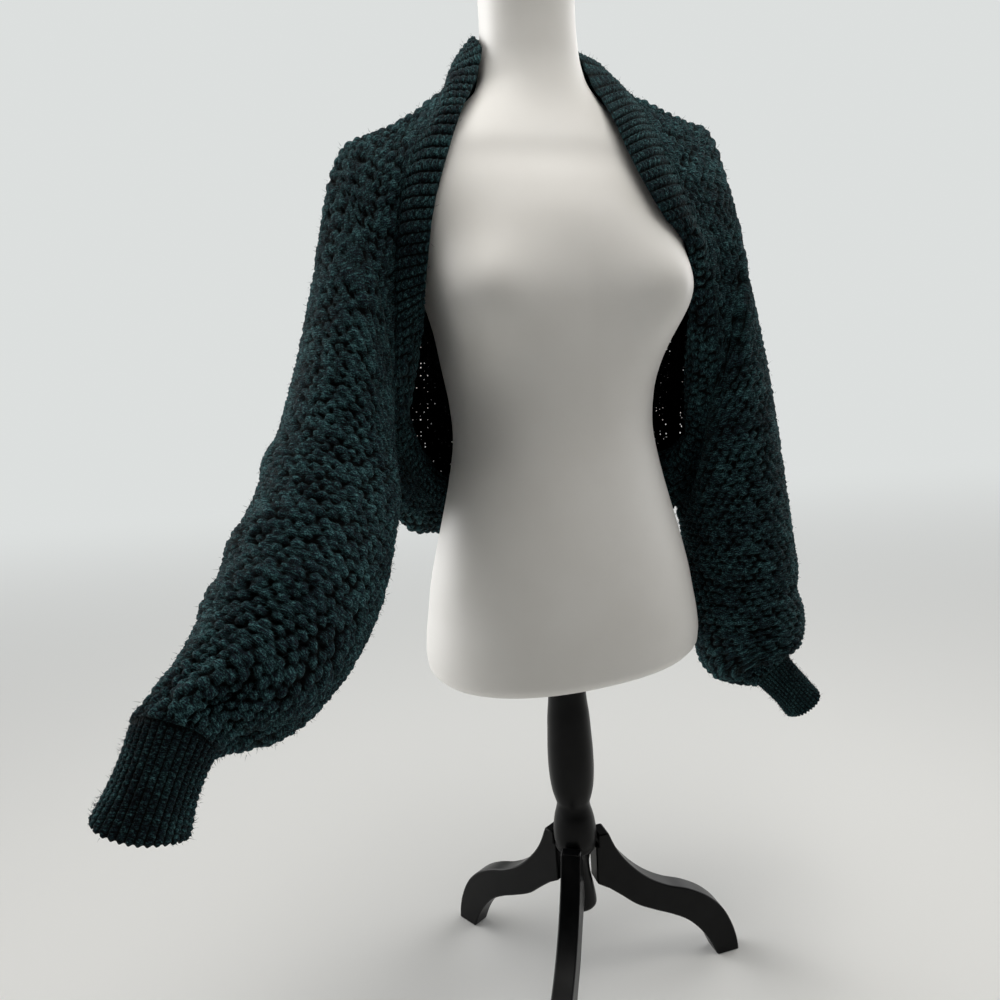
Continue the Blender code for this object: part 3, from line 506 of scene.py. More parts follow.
def rings_round(radii, heights, columns):
    """Round rings about the axis, one for each radius and height."""
    angle = 2 * np.pi * np.arange(columns) / columns
    radii = np.reshape(radii, (-1, 1))
    heights = np.broadcast_to(np.reshape(heights, (-1, 1)), (len(radii), columns))
    return np.stack([radii * np.cos(angle), radii * np.sin(angle), heights], -1)


def column_places():
    """Where the grid's columns fall along a section, in units of the control columns."""
    places = [0.0]
    for span, cells in enumerate(SPAN_CELLS):
        places += [span + (k + 1) / cells for k in range(cells)]
    return np.array(places)


def smooth_columns(grid, places):
    """Columns at the given places along a grid's second direction, by the same smooth curve."""
    swapped = np.swapaxes(grid, 0, 1)
    grid = smooth_through(np.arange(len(swapped)), swapped, places)
    return np.swapaxes(grid, 0, 1)


def row_places():
    """Where the panel's rows fall between the middle of the back and the armhole."""
    u = np.linspace(0, 1, BODY_CELLS_A_SIDE + 1)
    return u + CROWDING * u * (1 - u)


def body_surface():
    """Points of the panel's inner face: rows from the right armhole to the left one."""
    at = row_places()
    places = column_places()
    right = smooth_columns(section_points(RIGHT_SECTIONS, at, -1), places)
    left = smooth_columns(section_points(LEFT_SECTIONS, at, 1), places)
    return np.concatenate([right[::-1], left[1:]])


def shortfall(points, tree):
    """How much nearer than the resting gap each point lies to the form, and which way is out."""
    flat = points.reshape(-1, 3)
    short = np.zeros(len(flat))
    out = np.zeros((len(flat), 3))
    for k, point in enumerate(flat):
        place, normal, _, _ = tree.find_nearest(Vector(point))
        short[k] = REST_GAP - (Vector(point) - place).dot(normal)
        out[k] = normal
    return short.reshape(points.shape[:-1]), out.reshape(points.shape)


def corners_of(grid):
    """The four corners of every cell of a grid, each as one array."""
    return grid[:-1, :-1], grid[1:, :-1], grid[:-1, 1:], grid[1:, 1:]


def clear_of_form(grid, tree, round_i=False, held=0):
    """Moves a grid's points out until the faces between them keep the resting gap too.

    The first `held` columns stay where they are.
    """
    grid = grid.copy()
    for _ in range(CLEARING_PASSES):
        around = np.concatenate([grid, grid[:1]]) if round_i else grid
        need = np.full(around.shape[:2], -1.0)
        for u in CELL_SAMPLES:
            for v in CELL_SAMPLES:
                shares = ((1 - u) * (1 - v), u * (1 - v), (1 - u) * v, u * v)
                sample = sum(c * share for c, share in zip(corners_of(around), shares))
                short, _ = shortfall(sample, tree)
                for corner in corners_of(need):
                    np.maximum(corner, short, out=corner)
        if round_i:
            need[0] = np.maximum(need[0], need[-1])
            need = need[:-1]
        need[:, :held] = 0.0
        if need.max() <= 0:
            break
        _, out = shortfall(grid, tree)
        grid = grid + out * np.maximum(need, 0.0)[..., None]
    return grid


def oval(ring, axis, side, angles):
    """A ring's points: its long side from outer to inner, the short side square to it."""
    turn = np.radians(ring.across)
    drop = np.radians(ring.tilt)
    outwards = np.array([
        side * np.cos(turn) * np.cos(drop),
        np.sin(turn) * np.cos(drop),
        np.sin(drop),
    ])
    forwards = unit(np.cross(axis, outwards)) * side
    centre = np.array(ring.centre) * (side, 1, 1)
    return (
        centre
        + (ring.half_width * np.cos(angles))[:, None] * outwards
        + (ring.half_depth * np.sin(angles))[:, None] * forwards
    )


def sleeve_controls(first, away, rows, swell, side, angles):
    """The armhole ring, two rings that lead away from it and the ovals below, as one array."""
    centres = np.array([row.centre for row in rows]) * (side, 1, 1)
    path = np.concatenate([first.mean(axis=0)[None], centres])
    axes = unit(np.gradient(path, axis=0))[1:]
    ovals = [oval(row, axis, side, angles) for row, axis in zip(rows, axes)]
    outer_side = np.clip(np.cos(angles), 0, 1)[:, None] * (side, 0, 0)
    head = (first + ovals[0]) / 2 + swell * outer_side
    lead = first + unit(away + unit(head - first)) * SLEEVE_LEAD
    return np.array([first, lead, head] + ovals), axes


def strip_between(start, end, cells):
    """Points between two ends, neither end included, on a straight line."""
    t = (np.arange(1, cells) / cells)[:, None]
    return start + t * (end - start)


def square_to_loop(directions, loop):
    """The part of each direction that is square to a closed loop, as unit vectors."""
    along = unit(np.roll(loop, -1, axis=0) - np.roll(loop, 1, axis=0))
    return unit(directions - along * (directions * along).sum(axis=1, keepdims=True))


# ---------------------------------------------------------------- fine grids


def padded(grid, axis, closed=True, reach=1):
    """A grid carried on past both ends: by its own points again if closed, else by its last."""
    widths = [(0, 0)] * grid.ndim
    widths[axis] = (reach, reach)
    return np.pad(grid, widths, mode="wrap" if closed else "edge")


def grid_normals(grid, round_i=False, round_j=False):
    """Unit normals: the cross product of the grid's two central differences."""
    wide = padded(grid, 0) if round_i else grid
    wide = padded(wide, 1) if round_j else wide
    normals = np.cross(np.gradient(wide, axis=0), np.gradient(wide, axis=1))
    normals = normals[1:-1] if round_i else normals
    normals = normals[:, 1:-1] if round_j else normals
    return unit(normals)


def averaged(grid, passes, round_i=False, round_j=False):
    """Each point moved halfway to the mean of its four neighbours, a number of times."""
    for _ in range(passes):
        wide = padded(padded(grid, 0, round_i), 1, round_j)
        around = wide[:-2, 1:-1] + wide[2:, 1:-1] + wide[1:-1, :-2] + wide[1:-1, 2:]
        grid = (grid + around / 4) / 2
    return grid


def soft_normals(grid, round_i=False, round_j=False, passes=FINE_SOFTENING):
    """Grid normals averaged with their neighbours and brought back to unit length."""
    return unit(averaged(grid_normals(grid, round_i, round_j), passes, round_i, round_j))


def even_places(grid, count):
    """Places along a grid's first direction that lie evenly: its summed chords, inverted."""
    chords = np.linalg.norm(np.diff(grid, axis=0), axis=2).mean(axis=1)
    length = np.concatenate([[0.0], np.cumsum(chords)])
    return np.interp(np.linspace(0, length[-1], count), length, np.arange(len(length)))


def lengths_from(grid, start):
    """Distance walked along the first direction from row `start`: summed chords, signed."""
    chords = np.linalg.norm(np.diff(grid, axis=0), axis=2)
    walked = np.concatenate([np.zeros((1, grid.shape[1])), np.cumsum(chords, axis=0)])
    return walked - walked[start]


def lengths_across(grid):
    """Distance walked along the second direction from the first column."""
    return lengths_from(np.swapaxes(grid, 0, 1), 0).T


def smoothstep(x):
    """3x^2 - 2x^3 between 0 and 1, flat outside."""
    x = np.clip(x, 0, 1)
    return x * x * (3 - 2 * x)


def quarter_round(x):
    """A quarter of a circle, rising from 0 at 0 to 1 at 1 and flat after."""
    return np.sqrt(np.clip(1 - (1 - np.clip(x, 0, 1)) ** 2, 0, 1))


def eased_to(level, height, fade):
    """The height where fade is 1 and the level where it is 0."""
    return level + (height - level) * fade


def chance(seed, *wholes):
    """A number from 0 to 1 for each set of whole numbers: the fraction of a large sine."""
    mixed = np.full(np.shape(wholes[0]), float(seed))
    for whole, factor in zip(wholes, (12.9898, 78.233, 37.719)):
        mixed = mixed + np.asarray(whole) * factor
    value = np.sin(mixed) * 43758.5453
    return value - np.floor(value)


# ---------------------------------------------------------------- how the stitches lie


def followed(points, heading, guess):
    """A value at each point of an open grid whose slope is the heading, by least squares.

    The wanted step along each side of a cell is the mean heading there times the side. The sum
    of squared misses is made least by conjugate gradients, from a first guess.
    """
    steps = [np.diff(points, axis=axis) for axis in (0, 1)]
    lengths = [np.linalg.norm(step, axis=2).mean() for step in steps]
    weights = [lengths[1] / lengths[0], lengths[0] / lengths[1]]
    means = [(heading[:-1] + heading[1:]) / 2, (heading[:, :-1] + heading[:, 1:]) / 2]
    wanted = [(mean * step).sum(axis=2) for mean, step in zip(means, steps)]

    def gathered_back(misses):
        """Each side's miss added to its end and taken from its start."""
        total = np.zeros(points.shape[:2])
        total[1:] += weights[0] * misses[0]
        total[:-1] -= weights[0] * misses[0]
        total[:, 1:] += weights[1] * misses[1]
        total[:, :-1] -= weights[1] * misses[1]
        return total

    value = guess.copy()
    left = gathered_back([want - np.diff(value, axis=axis) for axis, want in enumerate(wanted)])
    way = left.copy()
    size = (left * left).sum()
    for _ in range(LAYOUT_STEPS):
        spread = gathered_back([np.diff(way, axis=axis) for axis in (0, 1)])
        stride = size / max((way * spread).sum(), 1e-30)
        value += stride * way
        left -= stride * spread
        new_size = (left * left).sum()
        way = left + way * (new_size / max(size, 1e-30))
        size = new_size
    return value


def stitch_places(base, normals, heading):
    """How far across and down the knit each point lies, in metres, for a heading down the cloth.

    Both are worked out on every fourth point and made fine again by a smooth curve.
    """
    stride = LAYOUT_STRIDE
    points, out, down_way = (x[::stride, ::stride] for x in (base, normals, heading))
    down_way = unit(down_way - out * (down_way * out).sum(axis=2, keepdims=True))
    across_way = np.cross(down_way, out)
    places = []
    for way in (across_way, down_way):
        guess = ((points - points.mean(axis=(0, 1))) * way.mean(axis=(0, 1))).sum(axis=2)
        rough = followed(points, way, guess)
        for _ in (0, 1):
            knots = np.arange(len(rough))
            fine = np.linspace(0, knots[-1], stride * knots[-1] + 1)
            rough = smooth_through(knots, rough, fine).T
        places.append(rough)
    return places


# ---------------------------------------------------------------- stitches


def wandered(across, down, seed):
    """Stitch counts shifted by slow waves, so that the rows of the knit aren't ruled lines."""
    broad, mild = WANDER
    mild_wave = np.sin(down * 0.13 + across * 0.31)
    across = across + broad * np.sin(down * 0.33 + seed) + mild * mild_wave
    mild_wave = np.sin(across * 0.23 - down * 0.27)
    down = down + broad * np.sin(across * 0.47 + seed) + mild * mild_wave
    return across, down


def bump_height(across, down, seed):
    """The bumpy knit: rows of oval domes, each row half a stitch along from the last.

    A dome is the square root of 1 - x^2 - y^2 with drooping ends; the highest dome wins, and
    where no dome reaches there is a pit.
    """
    across, down = wandered(across, down, seed)
    best = np.zeros_like(across)
    for row_step in (-1, 0, 1):
        row = np.floor(down) + row_step
        half = 0.5 * np.mod(row, 2)
        for column_step in (0, 1):
            column = np.floor(across - half) + column_step
            size = SIZE_RANGE[0] + SIZE_RANGE[1] * chance(seed, column, row)
            slide = BUMP_SLIDE * (chance(seed + 5, column, row) - 0.5)
            lift = BUMP_LIFT * (chance(seed + 9, column, row) - 0.5)
            x = (across - half - column - slide) / (BUMP_HALF_WIDTH * size)
            arch = BUMP_ARCH * (x * x - ARCH_MIDDLE)
            y = (down - row - 0.5 - lift - arch) / (BUMP_HALF_HEIGHT * size)
            dome = np.sqrt(np.clip(1 - x * x - y * y, 0, 1)) * eased_to(DOME_LEAST, 1, size)
            best = np.maximum(best, dome)
    return best


def rib_height(rib, along, seed):
    """Ribs of V stitches: a rounded ridge for each whole rib, notched by a V at each stitch."""
    from_crest = 2 * np.abs(rib - np.round(rib))
    ridge = np.sqrt(np.clip(1 - from_crest**2 * RIB_BREADTH, 0, 1))
    uneven = 0.5 * chance(seed, np.round(rib)) + 0.25 * np.sin(along * 0.21 + np.round(rib) * 2.1)
    stitch = 0.5 + 0.5 * np.cos(2 * np.pi * (along + uneven - V_SLANT * from_crest))
    dimple = 1 - DIMPLE[0] * np.exp(-((from_crest / DIMPLE[1]) ** 2))
    return ridge * dimple * (1 - NOTCH + NOTCH * stitch)


# ---------------------------------------------------------------- meshes


def new_object(name, points, quads, triangles, material):
    """A mesh object at the origin from arrays of points (about the stand's axis) and faces."""
    mesh = bpy.data.meshes.new(name)
    corners = np.concatenate([quads.ravel(), triangles.ravel()]).astype(np.int32)
    starts = np.concatenate(
        [np.arange(len(quads)) * 4, len(quads) * 4 + np.arange(len(triangles)) * 3]
    ).astype(np.int32)
    mesh.vertices.add(len(points))
    mesh.vertices.foreach_set("co", (points + AXIS).astype(np.float32).ravel())
    mesh.loops.add(len(corners))
    mesh.loops.foreach_set("vertex_index", corners)
    mesh.polygons.add(len(starts))
    mesh.polygons.foreach_set("loop_start", starts)
    mesh.polygons.foreach_set("use_smooth", np.ones(len(starts), bool))
    mesh.update(calc_edges=True)
    mesh.validate()
    return placed(mesh, material)


def placed(mesh, material):
    """The mesh as an object of its own name, in the scene."""
    mesh.materials.append(material)
    piece = bpy.data.objects.new(mesh.name, mesh)
    bpy.context.scene.collection.objects.link(piece)
    return piece


def round_again(index, round_i, round_j):
    """A grid's indices with the first row or column repeated last, where it closes on itself."""
    if round_i:
        index = np.concatenate([index, index[:1]], axis=0)
    if round_j:
        index = np.concatenate([index, index[:, :1]], axis=1)
    return index


def cells_of(index):
    """The four corners of every cell of a grid of indices."""
    return np.stack([index[:-1, :-1], index[1:, :-1], index[1:, 1:], index[:-1, 1:]], -1)


def stepped(start, middle, end, low_start, low_end):
    """Three triangles between two steps of a fine rim and one of a coarse rim."""
    return [
        np.stack([start, middle, low_start], -1),
        np.stack([middle, low_end, low_start], -1),
        np.stack([middle, end, low_end], -1),
    ]


def keep_height(mesh, heights):
    """Keeps the knit's height on the points, for the material's painted shade and painted light.
    """
    layer = mesh.attributes.new("height_for_painted_shade", "FLOAT", "POINT")
    layer.data.foreach_set("value", heights.astype(np.float32))


def drop_unused(points, faces, extras):
    """Removes points that no face uses and renumbers the faces."""
    used = np.zeros(len(points), bool)
    for part in faces:
        used[part.ravel()] = True
    number = np.cumsum(used) - 1
    return points[used], [number[part] for part in faces], [extra[used] for extra in extras]


def knit_shell(
    name, outer, inner, height, lattice, material,
    round_i=False, round_j=False, holes=None, back_shade_level=None,
):
    """A closed shell: a fine outer grid, an inner grid of every second point, and its rims.

    `height` (0 to 1) and `lattice` (metres across and along the knit) are kept on the points
    for the material, which paints shade and light from the height; `back_shade_level` is the
    inner side's painted shade. Each hole has an eight-sided mouth outside and a four-sided one
    inside, set within their cells.
    """
    rows, columns = outer.shape[:2]
    count = rows * columns
    low_rows, low_columns = inner.shape[:2]
    points = np.concatenate([outer.reshape(-1, 3), inner.reshape(-1, 3)])
    high = round_again(np.arange(count).reshape(rows, columns), round_i, round_j)
    low = count + np.arange(low_rows * low_columns).reshape(low_rows, low_columns)
    low = round_again(low, round_i, round_j)
    outside = cells_of(high)
    inside = cells_of(low)[..., ::-1]
    triangles = []
    knots = []
    keep_outside = np.ones(outside.shape[:2], bool)
    keep_inside = np.ones(inside.shape[:2], bool)
    holes_quads = []
    if holes is not None:
        i, j, radius = holes
        step = ((0, 0), (1, 0), (2, 0), (2, 1), (2, 2), (1, 2), (0, 2), (0, 1))
        rim = np.stack([high[2 * i + a, 2 * j + b] for a, b in step], -1)
        foot = np.stack([low[i, j], low[i + 1, j], low[i + 1, j + 1], low[i, j + 1]], -1)
        edges = []
        for ring in (rim, foot):
            centre = points[ring].mean(axis=1, keepdims=True)
            spread = centre + unit(points[ring] - centre) * radius[:, None, None]
            edges.append(len(points) + np.arange(ring.size).reshape(ring.shape))
            points = np.concatenate([points, spread.reshape(-1, 3)])
            knots.append(ring.ravel())
        mouth, floor = edges
        for a in (0, 1):
            for b in (0, 1):
                keep_outside[2 * i + a, 2 * j + b] = False
        keep_inside[i, j] = False
        for outer_ring, inner_ring in ((rim, mouth), (floor, foot)):
            sides = outer_ring.shape[1]
            for side in range(sides):
                after = (side + 1) % sides
                four = (outer_ring[:, side], outer_ring[:, after], inner_ring[:, after],
                        inner_ring[:, side])
                holes_quads.append(np.stack(four, -1))
        for side in range(4):
            three = mouth[:, 2 * side], mouth[:, 2 * side + 1], mouth[:, (2 * side + 2) % 8]
            triangles += stepped(*three, floor[:, side], floor[:, (side + 1) % 4])
    quads = np.concatenate([outside[keep_outside], inside[keep_inside], *holes_quads])
    rims = []
    if not round_j:
        rims.append((high[::-1, 0], low[::-1, 0]))
        rims.append((high[:, -1], low[:, -1]))
    if not round_i:
        rims.append((high[0], low[0]))
        rims.append((high[-1, ::-1], low[-1, ::-1]))
    for top, bottom in rims:
        triangles += stepped(top[:-2:2], top[1:-1:2], top[2::2], bottom[:-1], bottom[1:])
    triangles = np.concatenate(triangles)
    # painted shade on the inner side: darker than the outside, pale only where the outside has
    # pits
    if back_shade_level is None:
        back_shade_level = INNER_SHADE_SHARE * (1 - height[::2, ::2])
    heights = np.concatenate([height.ravel(), back_shade_level.ravel()])
    places = np.concatenate([lattice.reshape(-1, 2), lattice[::2, ::2].reshape(-1, 2)])
    # painted shade down the sides of each hole
    for ring in knots:
        heights = np.concatenate([heights, HOLE_SHADE_LEVEL * heights[ring]])
        places = np.concatenate([places, places[ring]])
    points, (quads, triangles), (heights, places) = drop_unused(
        points, [quads, triangles], [heights, places]
    )
    piece = new_object(name, points, quads, triangles, material)
    keep_height(piece.data, heights)
    corners = np.concatenate([quads.ravel(), triangles.ravel()])
    uv = piece.data.uv_layers.new(name="knit_places")
    uv.data.foreach_set("uv", places[corners].astype(np.float32).ravel())
    return piece


def pit_holes(name, across, down, base, seed):
    """The inner grid's cells that hold the bottom of an open pit, and a radius for each.

    A pit lies where three bumps meet, a third of a row below and above the middle between two
    neighbours. The cell nearest to each chosen pit is opened.
    """
    s, t = wandered(across / STITCH_WIDTH, down / STITCH_HEIGHT, seed)
    s, t = s[1::2, 1::2], t[1::2, 1::2]
    place = base[1::2, 1::2]
    low, high = HOLES_BETWEEN
    inside = (place[..., 1] > HOLES_BEHIND[name]) & (place[..., 2] > low) & (place[..., 2] < high)
    inside &= np.abs(place[..., 0]) > HOLES_BESIDE
    inside[:2] = inside[-2:] = False
    inside[:, :2] = inside[:, -2:] = False
    i, j = np.nonzero(inside)
    s, t = s[i, j], t[i, j]
    row = np.floor(t)
    lower = t - row > 0.5
    half = 0.5 * np.mod(row, 2)
    column = np.floor(s - half)
    pit = row + np.where(lower, PIT_PLACES[1], PIT_PLACES[0])
    number = np.round(6 * pit)
    stray_s = HOLE_STRAY * (2 * chance(seed + 11, column, number) - 1)
    stray_t = HOLE_STRAY * (2 * chance(seed + 13, column, number) - 1)
    off = np.hypot(
        (s - half - column - 0.5 - stray_s) * STITCH_WIDTH, (t - pit - stray_t) * STITCH_HEIGHT
    )
    order = np.lexsort((off, column, pit))
    i, j, off, column, pit = (x[order] for x in (i, j, off, column, pit))
    first = np.concatenate([[True], (np.diff(column) != 0) | (np.diff(pit) != 0)])
    first &= (off < PIT_REACH) & (chance(seed + 3, column, np.round(6 * pit)) < HOLE_SHARE)
    i, j = i[first], j[first]
    return i, j, eased_to(*HOLE_RADIUS, chance(seed + 7, i, j))


def fuzz(name, outer, normals, height, share, seed, material):
    """Loose fibres on a knit: thin spikes of three sides, rooted near the bumps' tops.

    Each leaves along the surface's normal, mixed with a random way.
    """
    chooser = np.random.default_rng(seed)
    high = np.flatnonzero(height.ravel() > HAIR_ROOTS)
    picks = high[chooser.integers(0, len(high), share)]
    out = normals.reshape(-1, 3)[picks]
    root = outer.reshape(-1, 3)[picks] - HAIR_DEPTH * out
    root = root + chooser.normal(0, HAIR_SPREAD, root.shape)
    steady, stray = HAIR_LEAN
    way = unit(out * steady + chooser.normal(0, stray, root.shape))
    length = eased_to(*HAIR_LENGTH, chooser.random((share, 1)) ** HAIR_POWER)
    thick = chooser.uniform(*HAIR_WIDTH, (share, 1))
    side = unit(np.cross(way, (0.31, 0.52, 0.79)))
    other = np.cross(way, side)
    turns = 2 * np.pi * np.arange(3) / 3
    points = [root + (side * np.cos(turn) + other * np.sin(turn)) * thick for turn in turns]
    points = np.stack(points + [root + way * length], 1)
    index = 4 * np.arange(share)[:, None]
    faces = [index + np.array(face) for face in ((0, 1, 3), (1, 2, 3), (2, 0, 3), (2, 1, 0))]
    piece = new_object(
        name, points.reshape(-1, 3), np.zeros((0, 4), int), np.concatenate(faces), material
    )
    # painted light on the fibres, near that of the bumps' tops
    keep_height(piece.data, np.full(4 * share, HAIR_LIGHT_LEVEL))
    return piece


def edge_distance(across, down):
    """Distance to the nearest open edge of a grid, from its two walked lengths."""
    ends = np.minimum(across - across[:1], across[-1:] - across)
    sides = np.minimum(down - down[:, :1], down[:, -1:] - down)
    return np.minimum(ends, sides)


# ---------------------------------------------------------------- the cloth's own forms


@lru_cache(maxsize=None)
def form_tree():
    """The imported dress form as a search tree, about the stand's axis."""
    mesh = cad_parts["torso"].data
    mesh.calc_loop_triangles()
    points = [vertex.co - Vector(AXIS) for vertex in mesh.vertices]
    return BVHTree.FromPolygons(points, [tuple(t.vertices) for t in mesh.loop_triangles])


@lru_cache(maxsize=None)
def body_cloth():
    """The panel's inner face: its coarse grid, the fine one, normals and where columns fall."""
    coarse = clear_of_form(body_surface(), form_tree())
    rows = even_places(coarse, BODY_ROWS)
    columns = even_places(np.swapaxes(coarse, 0, 1), BODY_COLUMNS)
    base = smooth_columns(smooth_through(np.arange(len(coarse)), coarse, rows), columns)
    base = crease(base, BODY_CREASES)
    normals = soft_normals(base)
    return coarse, base, normals, columns


def seam_offset():
    """How far the outer side stands off the inner one along every seam."""
    return PIT_THICKNESS + BUMP_RISE * EDGE_LEVEL


def crease(grid, creases, round_j=False):
    """Soft troughs (depth under 0) and ridges (over 0) pressed into a grid.

    Each follows a curve through three places on the grid, given as shares of its rows and
    columns. The height falls off as exp(-(d / width)^2) with the distance d to the curve, and
    fades towards the curve's two ends as a power of 4t(1 - t).
    """
    normals = soft_normals(grid, False, round_j, passes=4)
    rows, columns = grid.shape[:2]
    moved = np.zeros(grid.shape[:2])
    for fold in creases:
        t = np.linspace(0, 1, CREASE_STEPS)
        path = (
            np.outer((1 - t) ** 2, fold.start)
            + np.outer(2 * t * (1 - t), fold.bend)
            + np.outer(t**2, fold.end)
        )
        i = np.clip(np.round(path[:, 0] * (rows - 1)).astype(int), 0, rows - 1)
        j = np.round(path[:, 1] * (columns - 1)).astype(int) % columns
        spots = grid[i, j]
        nearest = np.full(grid.shape[:2], np.inf)
        strength = np.zeros(grid.shape[:2])
        for place, spot in zip(t, spots):
            away = np.linalg.norm(grid - spot, axis=2)
            closer = away < nearest
            nearest = np.where(closer, away, nearest)
            strength = np.where(closer, (4 * place * (1 - place)) ** CREASE_POWER, strength)
        moved += fold.depth * strength * np.exp(-((nearest / fold.width) ** 2))
    return grid + normals * moved[..., None]


def make_body(material):
    """The panel: bumps raised on the outside, low ones inside, light showing through its pits."""
    _, base, normals, _ = body_cloth()
    sideways = np.broadcast_to((1.0, 0.0, 0.0), base.shape)
    across, down = stitch_places(base, normals, np.cross(normals, sideways))
    height = bump_height(across / STITCH_WIDTH, down / STITCH_HEIGHT, 1)
    walked = lengths_from(base, 0), lengths_across(base)
    fade = smoothstep(edge_distance(*walked) / EDGE_FADE)
    height = eased_to(EDGE_LEVEL, height, fade)
    outer = base + normals * (PIT_THICKNESS + BUMP_RISE * height)[..., None]
    inner = (base + normals * (BACK_RISE * (1 - height) * fade)[..., None])[::2, ::2]
    holes = pit_holes("knit_body", across, down, base, 1)
    lattice = np.stack([across, down], -1)
    piece = knit_shell("knit_body", outer, inner, height, lattice, material, holes=holes)
    return piece, fuzz("fuzz_body", outer, normals, height, HAIRS["body"], 3, material)


Side = namedtuple("Side", "sign rows swell cuff_end creases gathers seed")
SIDES = {
    "right": Side(-1, RIGHT_SLEEVE, RIGHT_HEAD_SWELL, RIGHT_CUFF_END, RIGHT_CREASES,
                  RIGHT_GATHERS, 11),
    "left": Side(1, LEFT_SLEEVE, LEFT_HEAD_SWELL, LEFT_CUFF_END, LEFT_CREASES,
                 LEFT_GATHERS, 23),
}


@lru_cache(maxsize=None)
def armhole(label):
    """The sleeve's first ring, inside and outside, the way it leaves the body, and its angles."""
    side = SIDES[label]
    _, base, normals, columns = body_cloth()
    row, step = (0, 6) if side.sign < 0 else (-1, -7)
    edge = base[row]
    edge_out = edge + normals[row] * seam_offset()
    away = unit(edge - base[step])
    cells = CLOSING_POINTS + 1
    ring, ring_out, ring_away = (
        np.concatenate([x, strip_between(x[-1], x[0], cells)]) for x in (edge, edge_out, away)
    )
    ring_away = square_to_loop(ring_away, averaged_ring(ring))
    places = np.interp(columns, np.arange(len(column_places())), column_places())
    section = smooth_through(
        np.arange(len(COLUMN_ANGLES)), np.array(COLUMN_ANGLES, float)[:, None], places
    )[:, 0]
    closing = np.linspace(COLUMN_ANGLES[-1], CLOSING_ANGLE, cells + 1)[1:-1]
    return ring, ring_out, ring_away, np.radians(np.concatenate([section, closing]))


def averaged_ring(ring):
    """A closed loop of points, each averaged with its neighbours a few times."""
    for _ in range(8):
        ring = (np.roll(ring, 1, axis=0) + 2 * ring + np.roll(ring, -1, axis=0)) / 4
    return ring


def gathered(base, along, ring_share, side):
    """Folds that rise towards the cuff: each is a cosine about one place round the ring."""
    normals = soft_normals(base, round_j=True, passes=4) * side.sign
    moved = np.zeros(base.shape[:2])
    for fold in side.gathers:
        reach = np.clip((along - fold.start) / (fold.peak - fold.start), 0, 1)
        reach **= GATHER_POWER
        close = smoothstep((1.0 - along) / GATHER_CLOSE)
        slant = fold.lean * (1 - along)[:, None]
        turn = np.mod(ring_share[None] - fold.place - slant + 0.5, 1) - 0.5
        moved += fold.depth * (reach * close)[:, None] * np.exp(-((turn / fold.width) ** 2))
    return base + normals * moved[..., None]


@lru_cache(maxsize=None)
def sleeve_cloth(label):
    """The sleeve's inner face on a fine grid, its outward normals and its last ring's axis."""
    side = SIDES[label]
    ring, ring_out, ring_away, angles = armhole(label)
    first = ring + ring_away * GAP
    controls, axes = sleeve_controls(
        first, ring_away, side.rows, side.swell, side.sign, angles
    )
    along = [0.0, SLEEVE_LEAD_AT, side.rows[0].along / 2] + [row.along for row in side.rows]
    rough = smooth_through(along, controls, np.linspace(0, 1, SLEEVE_STEPS + 1))
    at = even_places(rough, SLEEVE_ROWS) / SLEEVE_STEPS
    base = smooth_through(along, controls, at)
    inside = averaged(base, 6, round_j=True)
    base = np.concatenate([base[:1], inside[1:-1], base[-1:]])
    share = np.arange(base.shape[1]) / base.shape[1]
    base = gathered(base, at, share, side)
    base = crease(base, side.creases, round_j=True)
    normals = grid_normals(base, round_j=True) * side.sign
    normals[0] = unit(ring_out - ring)
    normals = unit(averaged(normals, FINE_SOFTENING, round_j=True))
    normals[0] = unit(ring_out - ring)
    return base, normals, axes[-1]


def turned(grids, sign):
    """The grids of a ring, run the other way round on the right side, so that faces turn out."""
    return grids if sign > 0 else tuple(np.roll(x[:, ::-1], 1, axis=1) for x in grids)


def make_sleeve(label, material):
    """A balloon sleeve: bumps whose rows run round the arm, its closed shell and its fibres."""
    side = SIDES[label]
    name = "knit_sleeve_" + label
    base, normals, _ = sleeve_cloth(label)
    _, ring_out, ring_away, angles = armhole(label)
    join = int(np.argmin(np.abs(angles - np.radians(SLEEVE_JOIN))))
    opened = [np.roll(x, -join, axis=1) for x in (base, normals)]
    opened = [np.concatenate([x, x[:, :1]], axis=1) for x in opened]
    centres = base.mean(axis=1)
    arm = unit(averaged(np.gradient(centres, axis=0)[:, None], ARM_SOFTENING))
    heading = np.broadcast_to(arm, opened[0].shape)
    round_, down = (
        np.roll(x[:, : base.shape[1]], join, axis=1) for x in stitch_places(*opened, heading)
    )
    height = bump_height(round_ / STITCH_WIDTH, down / STITCH_HEIGHT, side.seed)
    up = -lengths_from(base, SLEEVE_ROWS - 1)
    fade = smoothstep(np.minimum(up, up[:1] - up) / EDGE_FADE)
    height = eased_to(EDGE_LEVEL, height, fade)
    outer = base + normals * (PIT_THICKNESS + BUMP_RISE * height)[..., None]
    outer[0] = ring_out - ring_away * LAP_OVER + normals[0] * LAP_LIFT
    back = base + normals * (BACK_RISE * (1 - height) * fade)[..., None]
    lattice = np.stack([round_, down], -1)
    grids = (outer, back, height, lattice, base, round_, down, normals)
    outer, back, height, lattice, base, round_, down, normals = turned(grids, side.sign)
    holes = pit_holes(name, round_, down, base, side.seed) if name in HOLES_BEHIND else None
    piece = knit_shell(
        name, outer, back[::2, ::2], height, lattice, material, round_j=True, holes=holes
    )
    hairs = HAIRS["sleeve_" + label]
    return piece, fuzz("fuzz_sleeve_" + label, outer, normals, height, hairs, side.seed, material)


